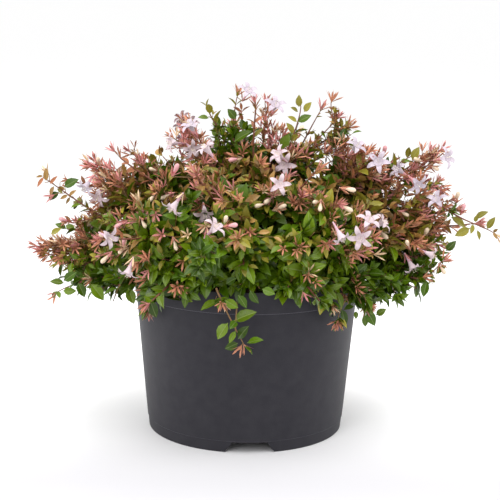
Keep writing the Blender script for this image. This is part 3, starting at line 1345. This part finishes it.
def petal_materials():
    """Abelia petals, thin and watery under a velvet of tiny cells: a soft white, pink at the tube. Each
    row holds the name, colour, grain, roughness, spread, bump distance and sheen."""
    chosen = settings("blossom")
    rows = (
        ("petal", linear_of(chosen.petal), 2.2, 0.5, 0.05, 0.0004, 0.15),
        ("petal_tube", linear_of(chosen.petal_tube), 1.4, 0.5, 0.1, 0.0004, 0),
        ("anther", from_hex("E9DFC0"), 0.5, 0.6, 0.1, 0.0003, 0),
        ("petal_lilac", linear_of(chosen.petal_lilac), 2.2, 0.5, 0.06, 0.0004, 0.15),
        ("petal_rose_tube", linear_of(chosen.bud_pink), 1.4, 0.5, 0.1, 0.0004, 0),
        ("anther_pale", from_hex("F2EBD6"), 0.5, 0.6, 0.1, 0.0003, 0),
    )
    return [living_surface("abelia_" + name, *values, (0.2, bump), IOR=1.4, Sheen_Weight=sheen)
            for name, *values, bump, sheen in rows]


def bud_materials():
    """Abelia buds, petals still rolled tight: satin, cream or pink at the club and darker below."""
    chosen = settings("blossom")
    rows = (
        ("cream", linear_of(chosen.bud_cream), 1.6, 0.42), ("cream_foot", from_hex("D9A79A"), 1.2, 0.5),
        ("pink", linear_of(chosen.bud_pink), 1.6, 0.42), ("pink_foot", from_hex("B8616B"), 1.2, 0.5),
    )
    return [living_surface("abelia_bud_" + name, *values, 0.1, (0.2, 0.0004), IOR=1.42)
            for name, *values in rows]


def bark_material(name, colour, furrow_mm, roughness=0.75):
    """Young shrub bark, thin and fibrous: long fine furrows that catch the light, matt and warm."""
    material, tree, shader, place = start_material(name)
    drawn_out = add_node(tree, "ShaderNodeMapping", {"Vector": place, "Scale": (1, 1, 0.22)})
    furrows = noise(tree, drawn_out.outputs["Vector"], furrow_mm, 5.0, Roughness=0.65)
    flakes = noise(tree, place, 6, 2.0)
    grain = mixed(tree, furrows, *shades(colour, 0.5, 1.45))
    coloured = mixed(tree, 1.0, grain, ranged(tree, flakes, 0.7, 1.25), "MULTIPLY")
    rough = ranged(tree, furrows, roughness - 0.1, roughness + 0.12)
    finish_shader(tree, shader, coloured, rough, furrows, (0.6, 0.001), IOR=1.45)
    return material


def pot_material(name, colour, roughness):
    """Recycled polypropylene, injection moulded against a fine spark-eroded tool: an even anthracite
    with a low satin sheen, faint flow clouds and a little handling dust. Its edges are rubbed paler."""
    material, tree, shader, place = start_material(name)
    clouds = noise(tree, place, 38, 3.0)
    grit = noise(tree, place, 0.9, 2.0)
    dust = noise(tree, place, 9, 6.0)
    base = mixed(tree, clouds, *shades(colour, 0.96, 1.05))
    dusty = mixed(tree, ranged(tree, dust, -0.02, 0.05), base, from_hex("8C8A8C"))
    rough = ranged(tree, clouds, roughness - 0.05, roughness + 0.06)
    finish_shader(tree, shader, dusty, rough, grit, (0.22, 0.0003), IOR=1.49, Specular_IOR_Level=0.23)
    return material


def soil_material():
    """Potting mix of milled peat and bark: dark, matt and crumbly, with paler fibres."""
    material, tree, shader, place = start_material("milled_peat_and_bark")
    crumbs = add_node(tree, "ShaderNodeTexVoronoi", {"Vector": place, "Scale": 1 / (3.4 * MM)})
    fine = noise(tree, place, 1.2, 6.0)
    base = mixed(tree, crumbs.outputs["Color"], from_hex("2A1E16"), from_hex("4B3626"))
    fibres = mixed(tree, ranged(tree, fine, -0.9, 1.1), base, from_hex("7A5E42"))
    finish_shader(tree, shader, fibres, ranged(tree, fine, 0.85, 1.0), fine, (0.9, 0.002), IOR=1.4)
    return material


def floor_material():
    """Matt white studio paper with the faintest tooth, a little greyer just in front of the pot."""
    material, tree, shader, place = start_material("matt_studio_paper")
    tooth = noise(tree, place, 0.8, 2.0)
    chosen = settings("stage")
    behind = add_node(tree, "ShaderNodeSeparateXYZ", {"Vector": place}).outputs["Y"]
    away = add_node(tree, "ShaderNodeVectorMath", {0: place}, operation="LENGTH").outputs["Value"]
    ends = [
        add_node(tree, "ShaderNodeMapRange", {"Value": value, "From Min": low, "From Max": high},
                 interpolation_type="SMOOTHSTEP").outputs["Result"]
        for value, low, high in ((behind, -0.16, 0.04), (away, 0.3, 1.0))
    ]
    white = add_node(tree, "ShaderNodeMath", {0: ends[0], 1: ends[1]}, operation="MAXIMUM").outputs["Value"]
    colour = mixed(tree, white, linear_of(chosen.floor_front), linear_of(chosen.floor))
    shade = mixed(tree, 1.0, colour, ranged(tree, tooth, 0.993, 1.0), "MULTIPLY")
    rough = ranged(tree, tooth, 0.85, 0.95)
    finish_shader(tree, shader, shade, rough, tooth, (0.02, 0.0001), IOR=1.4, Specular_IOR_Level=0.1)
    return material


def linear_of(colour):
    """A picked colour as a plain row of linear red, green, blue and alpha."""
    return (*colour, 1.0)


def picked(name, text, description):
    """A colour that the user may change, with an sRGB hex default."""
    return bpy.props.FloatVectorProperty(
        name=name, description=description, subtype="COLOR", size=3, min=0, max=1,
        default=from_hex(text)[:3],
    )


def number(name, default, description, **more):
    """A number that the user may change."""
    return bpy.props.FloatProperty(name=name, description=description, default=default, **more)


def sized(name, millimetres, description):
    """A small length that the user may change."""
    return number(name, millimetres * MM, description, min=0, unit="LENGTH", precision=4)


class PotSettings(bpy.types.PropertyGroup):
    """The nursery pot's finish."""

    colour: picked("Pot colour", "27262C", "Colour of the moulded plastic")
    edge: picked("Edge colour", "46454C", "Colour of the rubbed edges")
    roughness: number("Pot roughness", 0.56, "How matt the plastic is", min=0.2, max=0.9)
    rim_radius: sized("Rim rounding", 0.55, "Radius of the rim's rounded edge")


class LeafSettings(bpy.types.PropertyGroup):
    """Sizes and colours of the leaves."""

    length: sized("Leaf length", 19.5, "Length of a full-grown leaf")
    width: sized("Leaf width", 9.2, "Width of a full-grown leaf")
    deep: picked("Deep green", "4A640B", "Oldest leaves, inside the crown")
    mature: picked("Mature green", "385204", "Full-grown leaves")
    fresh: picked("Fresh green", "566D08", "Leaves of this season")
    olive: picked("Olive", "837C29", "Young leaves near the tips")
    bronze: picked("Bronze", "95723C", "Young leaves in the sun")
    russet: picked("Russet", "9A6244", "Youngest leaves at the tips")


class BlossomSettings(bpy.types.PropertyGroup):
    """Sizes and colours of flowers, buds and sepals."""

    sepal_length: sized("Sepal length", 9.5, "Length of a calyx lobe")
    flower_size: number("Flower size", 1.0, "Scale of the open flowers", min=0.3, max=2)
    petal: picked("Petal", "CAB7BD", "Inside of the open flower")
    petal_lilac: picked("Lilac petal", "B9ADB8", "Flowers that opened last")
    petal_tube: picked("Flower tube", "C8A0AE", "Narrow foot of the flower")
    bud_cream: picked("Cream bud", "E0CAB0", "Older buds")
    bud_pink: picked("Pink bud", "D8A0A4", "Younger buds")
    copper: picked("Copper sepal", "BA8064", "Most of the sepals")
    pink: picked("Pink sepal", "C4837F", "Sepals in the sun")
    rust: picked("Rust sepal", "97624A", "Oldest sepals")
    buff: picked("Buff sepal", "CEB290", "Faded sepals")


class BarkSettings(bpy.types.PropertyGroup):
    """Colours of stem, boughs and twigs."""

    stem: picked("Stem bark", "6B4A35", "Bark of the stem and boughs")
    twig: picked("Twig bark", "7A4838", "Bark of last year's twigs")
    young: picked("Young twig", "8E6C44", "Skin of this year's twigs")


class StageSettings(bpy.types.PropertyGroup):
    """Floor, backdrop and light."""

    floor: picked("Floor", "FFFFFF", "Colour of the studio paper")
    floor_front: picked("Floor in front", "CBCACD", "Colour of the paper in front of the pot")
    sky_strength: number("Surround", 1.0, "Strength of the surround")
    top_power: number("Top light", 13, "Top softbox", unit="POWER")
    front_power: number("Front light", 7.5, "Front softbox", unit="POWER")
    side_power: number("Side lights", 5, "Side softboxes", unit="POWER")


GROUPS = {
    "pot": PotSettings,
    "leaf": LeafSettings,
    "blossom": BlossomSettings,
    "bark": BarkSettings,
    "stage": StageSettings,
}


def settings(group):
    """The scene's values of one group."""
    return getattr(bpy.context.scene, "abelia_" + group)


@functools.cache
def growth():
    """The shrub's growth, worked out on first use."""
    return Growth()


# The pot.
def wall_radius(height):
    """The radius of the pot's outer wall, without the band."""
    return POT_BASE_RADIUS + (POT_RADIUS - BAND_STEP - POT_BASE_RADIUS) * height / POT_HEIGHT


def notch_azimuths():
    """Azimuths of the notches' middles."""
    return [math.radians(NOTCH_AZIMUTH) + i * FULL_TURN / NOTCH_COUNT for i in range(NOTCH_COUNT)]


def notch_lift(azimuth):
    """How high the pot's foot is cut away at an azimuth, in millimetres."""
    step = FULL_TURN / NOTCH_COUNT
    off = (azimuth - math.radians(NOTCH_AZIMUTH) + step / 2) % step - step / 2
    edges = (-NOTCH_WIDTH_AT_GROUND / 2, -NOTCH_WIDTH_AT_TOP / 2)
    return FLOOR_LIFT * ramp(-abs(off) * POT_BASE_RADIUS, edges)


def pot_columns():
    """Azimuths of the pot's corners: evenly spaced ones, and those where a notch starts and ends."""
    azimuths = list(evenly(POT_COLUMNS))
    for middle in notch_azimuths():
        for half in (NOTCH_WIDTH_AT_GROUND / 2, NOTCH_WIDTH_AT_TOP / 2):
            azimuths += [middle - half / POT_BASE_RADIUS, middle + half / POT_BASE_RADIUS]
    return np.sort(np.array(azimuths) % FULL_TURN)


def pot_profile():
    """Radius, height and whether the row follows the notches, from the middle of the underside, out,
    up the wall, over the rounded rim and down the inside to the middle of the floor."""
    band_foot = POT_HEIGHT - BAND_HEIGHT
    foot_inner = POT_BASE_RADIUS - FOOT_WIDTH
    rim = settings("pot").rim_radius / MM
    low_line = wall_radius(FOOT_LINE_HEIGHT) - FOOT_LINE_STEP
    rows = [
        (PAD_RADIUS - 0.8, 0, False), (PAD_RADIUS, 0.3, False), (PAD_RADIUS + PAD_SLOPE, FLOOR_LIFT, False),
        (DRAIN_RING_RADIUS - DRAIN_RADIUS, FLOOR_LIFT, False),
        (foot_inner - 2, FLOOR_LIFT, False), (foot_inner, 0, True), (foot_inner + 0.8, 0, True),
        (POT_BASE_RADIUS - FOOT_LINE_STEP - 0.5, 0, True), (POT_BASE_RADIUS - FOOT_LINE_STEP, 0.5, True),
        (low_line - 0.05, FOOT_LINE_HEIGHT - 0.35, False), (low_line, FOOT_LINE_HEIGHT, False),
        (wall_radius(FOOT_LINE_HEIGHT), FOOT_LINE_HEIGHT + 0.5, False),
        (wall_radius(FOOT_LINE_HEIGHT) + 0.05, FOOT_LINE_HEIGHT + 0.9, False),
    ]
    rows += [(wall_radius(h), h, False) for h in (30, 60, 90, band_foot - 0.8)]
    rows += [
        (wall_radius(band_foot) + 0.04, band_foot, False),
        (wall_radius(band_foot) + BAND_STEP - 0.1, band_foot + 0.35, False),
        (wall_radius(band_foot) + BAND_STEP, band_foot + 0.75, False),
        (wall_radius(band_foot) + BAND_STEP + 0.05, band_foot + 1.6, False),
    ]
    inner = POT_RADIUS - BAND_STEP - POT_WALL
    for centre, start in ((POT_RADIUS - rim, 0), (inner + rim, math.pi / 2)):
        rows += [(centre + rim * math.cos(turn), POT_HEIGHT - rim + rim * math.sin(turn), False)
                 for turn in np.linspace(start, start + math.pi / 2, 4)]
    floor_top = FLOOR_LIFT + POT_WALL
    rows += [(wall_radius(60) - POT_WALL, 60, False), (wall_radius(floor_top) - POT_WALL, floor_top, False),
             (PAD_RADIUS + PAD_SLOPE - 1, floor_top, False), (PAD_RADIUS - 1, POT_WALL, False)]
    return rows


def ring(radius, heights, turns):
    """Corners on a circle round the Z axis, in millimetres."""
    return [(radius * math.cos(t), radius * math.sin(t), h) for t, h in zip(turns, heights)]


def closed_mesh(name, rows, finish, low, high, smooth):
    """A closed mesh in metres from rings of corners in millimetres, and the middles of its two ends."""
    shape = Shape().grid(rows, finish, closed=True).close_ends(low, high, len(rows[0]))
    corners, faces, finishes = shape.triangles()
    return triangle_mesh(name, corners * MM, faces, finishes, smooth)


def pot_mesh():
    """The moulded pot, without its drain holes."""
    azimuths = pot_columns()
    lifts = np.array([notch_lift(a) for a in azimuths])
    profile = pot_profile()
    band_foot = POT_HEIGHT - BAND_HEIGHT

    def rubbed(i, j):
        """Faces of the two fine edges, under the band and over the foot."""
        low, high = profile[i][1], profile[i + 1][1]
        under_band = low > band_foot - 0.1 and high < band_foot + 0.8
        over_foot = low > FOOT_LINE_HEIGHT - 0.1 and high < FOOT_LINE_HEIGHT + 0.6
        return int(low < high and (under_band or over_foot))

    rows = []
    for radius, height, notched in profile:
        lifted = np.minimum(np.maximum(height, lifts), FLOOR_LIFT)
        rows.append(ring(radius, lifted if notched else np.full(len(azimuths), float(height)), azimuths))
    return closed_mesh("nursery_pot", rows, rubbed, (0, 0, 0), (0, 0, POT_WALL), smooth=True)


def cut_drains(piece):
    """Cuts the drain holes through the raised floor, one beside each notch."""
    corners, faces = [], []
    turns = evenly(DRAIN_SIDES)
    for azimuth in notch_azimuths():
        centre = np.array([DRAIN_RING_RADIUS * math.cos(azimuth), DRAIN_RING_RADIUS * math.sin(azimuth), 0])
        low = len(corners)
        high = low + DRAIN_SIDES
        for height in (FLOOR_LIFT - 1.5, FLOOR_LIFT + POT_WALL + 1.5):
            circle = ring(DRAIN_RADIUS, [height] * DRAIN_SIDES, turns)
            corners += [(centre + corner) * MM for corner in circle]
        for j in range(DRAIN_SIDES):
            k = (j + 1) % DRAIN_SIDES
            faces.append((low + j, low + k, high + k, high + j))
        faces += [tuple(reversed(range(low, high))), tuple(range(high, high + DRAIN_SIDES))]
    cutter_mesh = bpy.data.meshes.new("drain_cutter")
    cutter_mesh.from_pydata(corners, [], faces)
    cutter = add_object("drain_cutter", cutter_mesh)
    change = piece.modifiers.new("drains", "BOOLEAN")
    change.operation = "DIFFERENCE"
    change.solver = "EXACT"
    change.object = cutter
    graph = bpy.context.evaluated_depsgraph_get()
    changed = bpy.data.meshes.new_from_object(piece.evaluated_get(graph))
    piece.modifiers.clear()
    piece.data = changed
    bpy.data.objects.remove(cutter)


class ABELIA_OT_pot(bpy.types.Operator):
    """Moulds the nursery pot"""

    bl_idname = "abelia.pot"
    bl_label = "Pot"

    def execute(self, context):
        chosen = settings("pot")
        finishes = [
            pot_material("moulded_polypropylene_anthracite", linear_of(chosen.colour), chosen.roughness),
            pot_material("rubbed_polypropylene_edge", linear_of(chosen.edge), chosen.roughness - 0.1),
        ]
        piece = place_piece(pot_mesh(), finishes, ("pot",))
        cut_drains(piece)
        piece.data.set_sharp_from_angle(angle=math.radians(POT_SHARP_DEGREES))
        return {"FINISHED"}


class ABELIA_OT_growing_medium(bpy.types.Operator):
    """Fills the pot with its crumbly growing medium"""

    bl_idname = "abelia.growing_medium"
    bl_label = "Growing medium"

    def execute(self, context):
        draw = np.random.default_rng(SEEDS["medium"])
        inset = POT_WALL + MEDIUM_CLEARANCE
        top = SOIL_HIGH.z / MM
        bottom = FLOOR_LIFT + inset
        edge = wall_radius(top) - inset
        profile = [(PAD_RADIUS - 2, inset), (PAD_RADIUS + PAD_SLOPE - 1.5, bottom),
                   (wall_radius(bottom) - inset, bottom), (edge, top - 0.8)]
        flat = len(profile)
        profile += [(edge * share, top) for share in np.linspace(0.99, 0.03, MEDIUM_RINGS)]
        rows = []
        for i, (radius, height) in enumerate(profile):
            crumbs = draw.random(MEDIUM_SIDES) * CRUMB_DEPTH if i >= flat else np.zeros(MEDIUM_SIDES)
            rows.append(ring(radius, height - crumbs, evenly(MEDIUM_SIDES)))
        mesh = closed_mesh("potting_mix", rows, 0, (0, 0, inset), (0, 0, top - 1), smooth=False)
        place_piece(mesh, [soil_material()], ("soil",))
        return {"FINISHED"}


class ABELIA_OT_bark(bpy.types.Operator):
    """Grows the short main stem and the boughs, with the relief of their bark"""

    bl_idname = "abelia.bark"
    bl_label = "Stem and boughs"

    def execute(self, context):
        draw = np.random.default_rng(SEEDS["bark"])
        rows, sides = STEM_ROWS, STEM_SIDES
        shares = np.linspace(0, 1, rows)
        line = np.array([stem_point(s) for s in shares])
        ridges = 1 + 0.045 * np.sin(evenly(sides) * 7)[None]
        grain = 1 + 0.05 * (draw.random((rows, sides)) - 0.5)
        radii = np.array([stem_radius(s) for s in shares])[:, None] * ridges * grain * BARK_INSET
        bark = bark_material("fibrous_shrub_bark", linear_of(settings("bark").stem), 1.1)
        place_tubes("main_stem_bark", [(line, radii)], sides, bark, ("main_stem",), STEM_FOOT)
        rows, sides = BOUGH_ROWS, BOUGH_SIDES
        taper = np.linspace(BOUGH_RADIUS, BOUGH_TIP_RADIUS, rows)[:, None]
        limbs, nodes = [], []
        for shoot in growth().shoots:
            if shoot["bare"]:
                line = spaced(shoot["line"][:shoot["bare"] + 1], rows - 1)
                rough = 1 + 0.12 * (draw.random((rows, sides)) - 0.5) + 0.05 * np.sin(evenly(sides) * 3)
                limbs.append((line, taper * rough * BARK_INSET))
                nodes.append("bough_" + shoot["name"])
        place_tubes("bough_bark", limbs, sides, bark, nodes)
        return {"FINISHED"}


class ABELIA_OT_twigs(bpy.types.Operator):
    """Grows the twigs and twiglets on every bough"""

    bl_idname = "abelia.twigs"
    bl_label = "Twigs"

    def execute(self, context):
        chosen = settings("bark")
        shrub = growth()
        lines = {"old": [], "young": []}
        for line, foot_radius, tip_radius, age in shrub.twigs:
            lines[age].append((line, np.linspace(foot_radius, tip_radius, len(line))))
        for place, heading, stalk, _, _ in shrub.calyces:
            lines["young"].append((np.array([place, place + heading * stalk]), STALK_RADII))
        for age, sides, colour in (("old", 5, chosen.twig), ("young", 3, chosen.young)):
            bark = bark_material("abelia_twigs_" + age, linear_of(colour), 0.6, 0.55)
            place_tubes("twigs_" + age, lines[age], sides, bark)
        return {"FINISHED"}


class ABELIA_OT_leaves(bpy.types.Operator):
    """Puts the leaves on the twigs, one piece for each tier of the crown"""

    bl_idname = "abelia.leaves"
    bl_label = "Leaves"

    def execute(self, context):
        chosen = settings("leaf")
        draw = np.random.default_rng(SEEDS["leaves"])
        shrub = growth()
        count = len(shrub.leaves)
        origins, headings, sizes, owners, tints = (column(shrub.leaves, k) for k in range(5))
        shown = column(shrub.leaves, 5) == "shown"
        tints = tints + draw.normal(0, 0.07, count)
        outward = unit(origins - CROWN_CENTRE)
        reach = np.linalg.norm(origins - CROWN_CENTRE, axis=1) / (shrub.space.reach[owners] + LEAF_REACH)
        facing = unit(outward + UP * LEAF_UPTURN + draw.normal(0, 0.34, outward.shape))
        droop = unit(headings + outward * 0.25 - UP * 0.12)
        roll = draw.normal(0, 0.46, count)
        facing[shown] = UP * 0.6 - camera_axes()[2]
        droop[shown] = headings[shown]
        roll[shown] *= 0.6
        axes = basis(droop, facing, roll)
        young = ramp(tints, YOUNG_TINTS)
        length = chosen.length / MM * sizes * np.where(shown, 1, 1 - 0.36 * young)
        width = chosen.width / MM * sizes * (1 - 0.5 * young) * (0.9 + 0.2 * draw.random(count))
        width[shown] *= SHOWN_LEAF_WIDTH
        scales = np.stack([length, width, length * 0.7], axis=1)
        finish = np.digitize(tints, TINT_STEPS) + 1
        chance = draw.random(count)
        finish[(tints < 0.42) & (chance < 0.17)] = 2
        finish[((tints < 0.3) & (chance > 0.72)) | ((reach < DEEP_REACH) & (tints < 0.5))] = 0
        full, plain = leaf_shape(FULL_LEAF, True), leaf_shape(PLAIN_LEAF, False)
        materials = leaf_materials()
        detailed = reach > DETAILED_REACH
        for tier, *_ in TIERS:
            here = np.array([shoot["tier"] == tier for shoot in shrub.shoots])[owners]
            heap = Heap()
            for shape, some in ((full, here & detailed), (plain, here & ~detailed)):
                heap.add(shape, origins[some], axes[some], scales[some], 2 * finish[some])
            nodes = ["foliage_" + shoot["name"] for shoot in shrub.shoots if shoot["tier"] == tier]
            place_piece(heap.mesh("leaves_" + tier), materials, nodes)
        return {"FINISHED"}


class ABELIA_OT_sepals(bpy.types.Operator):
    """Puts the star-shaped calyces on the twig tips"""

    bl_idname = "abelia.sepals"
    bl_label = "Calyx stars"

    def execute(self, context):
        draw = np.random.default_rng(SEEDS["sepals"])
        places, headings, stalks, tints, chance = (column(growth().calyces, k) for k in range(5))
        count = len(places)
        length = settings("blossom").sepal_length / MM * (0.82 + 0.3 * draw.random(count))
        finish = np.digitize(chance, (0.5, 0.74, 0.86))
        finish[(tints > 0.8) & (chance > 0.4) & (chance < 0.75)] = 1
        spins = draw.random(count) * MOST_SPIN
        feet = places + headings * stalks[:, None]
        shape = sepal_ring_shape()
        place_copies("calyx_stars", shape, feet, headings, spins, length, finish, sepal_materials())
        return {"FINISHED"}


class ABELIA_OT_flowers(bpy.types.Operator):
    """Opens the funnel flowers"""

    bl_idname = "abelia.flowers"
    bl_label = "Flowers"

    def execute(self, context):
        draw = np.random.default_rng(SEEDS["flowers"])
        places, headings, sizes, chance = (column(growth().flowers, k) for k in range(4))
        shape = flower_shape(TUBE_LENGTH, THROAT_RADIUS, FLOWER_RADIUS)
        spins = draw.random(len(places)) * MOST_SPIN
        scales = sizes * settings("blossom").flower_size
        finishes = np.where(chance < 0.5, 0, 3)
        place_copies("flowers", shape, places, headings, spins, scales, finishes, petal_materials())
        return {"FINISHED"}


class ABELIA_OT_buds(bpy.types.Operator):
    """Hangs the closed flower buds"""

    bl_idname = "abelia.buds"
    bl_label = "Buds"

    def execute(self, context):
        places, headings, sizes, chance = (column(growth().buds, k) for k in range(4))
        shape = bud_shape(BUD_LENGTH)
        finishes = np.where(chance < 0.7, 0, 2)
        place_copies("flower_buds", shape, places, headings, 0.0, sizes, finishes, bud_materials())
        return {"FINISHED"}


def add_light(name, place, size, power):
    """A soft rectangular light that faces the crown."""
    lamp = bpy.data.lights.new(name, "AREA")
    lamp.shape = "RECTANGLE"
    lamp.size, lamp.size_y = size
    lamp.energy = power
    light = add_object(name, lamp)
    light.location = place
    light.rotation_euler = (Vector(CROWN_MIDDLE) - Vector(place)).to_track_quat("-Z", "Y").to_euler()


class ABELIA_OT_stage(bpy.types.Operator):
    """Sets the pale floor, the soft lights and the camera"""

    bl_idname = "abelia.stage"
    bl_label = "Stage"

    def execute(self, context):
        scene = context.scene
        chosen = settings("stage")
        floor_mesh = bpy.data.meshes.new("studio_floor")
        half = FLOOR_HALF
        floor_mesh.from_pydata([(-half, -half, 0), (half, -half, 0), (half, half, 0), (-half, half, 0)], [],
                               [(0, 1, 2, 3)])
        floor = add_object("studio_floor", floor_mesh)
        floor_mesh.materials.append(floor_material())
        world = bpy.data.worlds.new("white_surround")
        world.use_nodes = True
        scene.world = world
        backdrop = world.node_tree.nodes["Background"]
        backdrop.inputs["Color"].default_value = (1, 1, 1, 1)
        backdrop.inputs["Strength"].default_value = chosen.sky_strength
        for name, place, size, power in SOFTBOXES:
            add_light(name, place, size, getattr(chosen, power))
        right, up, forward = camera_axes()
        lens = bpy.data.cameras.new("camera")
        lens.sensor_fit = "HORIZONTAL"
        lens.sensor_width = SENSOR_WIDTH
        lens.lens = FOCAL_PIXELS * SENSOR_WIDTH / PICTURE_PIXELS
        camera = add_object("camera", lens)
        turn = Matrix((right, up, -forward)).transposed().to_4x4()
        camera.matrix_world = Matrix.Translation(CAMERA_PLACE) @ turn
        scene.camera = camera
        scene.view_settings.view_transform = "Standard"
        return {"FINISHED"}


OPERATORS = (
    ABELIA_OT_stage,
    ABELIA_OT_pot,
    ABELIA_OT_growing_medium,
    ABELIA_OT_bark,
    ABELIA_OT_twigs,
    ABELIA_OT_leaves,
    ABELIA_OT_sepals,
    ABELIA_OT_flowers,
    ABELIA_OT_buds,
)


class ABELIA_PT_panel(bpy.types.Panel):
    """Lists the shrub's values and the steps that make it"""

    bl_idname = "ABELIA_PT_panel"
    bl_label = "Potted abelia"
    bl_space_type = "VIEW_3D"
    bl_region_type = "UI"
    bl_category = "Abelia"

    def draw(self, context):
        for name, group in GROUPS.items():
            box = self.layout.box()
            box.label(text=name.capitalize())
            for value in group.__annotations__:
                box.prop(settings(name), value)
        for operator in OPERATORS:
            self.layout.operator(operator.bl_idname)


def register():
    for group in GROUPS.values():
        bpy.utils.register_class(group)
    for operator in OPERATORS:
        bpy.utils.register_class(operator)
    bpy.utils.register_class(ABELIA_PT_panel)
    for name, group in GROUPS.items():
        setattr(bpy.types.Scene, "abelia_" + name, bpy.props.PointerProperty(type=group))


def unregister():
    for name in GROUPS:
        delattr(bpy.types.Scene, "abelia_" + name)
    bpy.utils.unregister_class(ABELIA_PT_panel)
    for operator in reversed(OPERATORS):
        bpy.utils.unregister_class(operator)
    for group in GROUPS.values():
        bpy.utils.unregister_class(group)


def main():
    register()
    for operator in OPERATORS:
        family, name = operator.bl_idname.split(".")
        getattr(getattr(bpy.ops, family), name)()


if __name__ == "__main__":
    main()
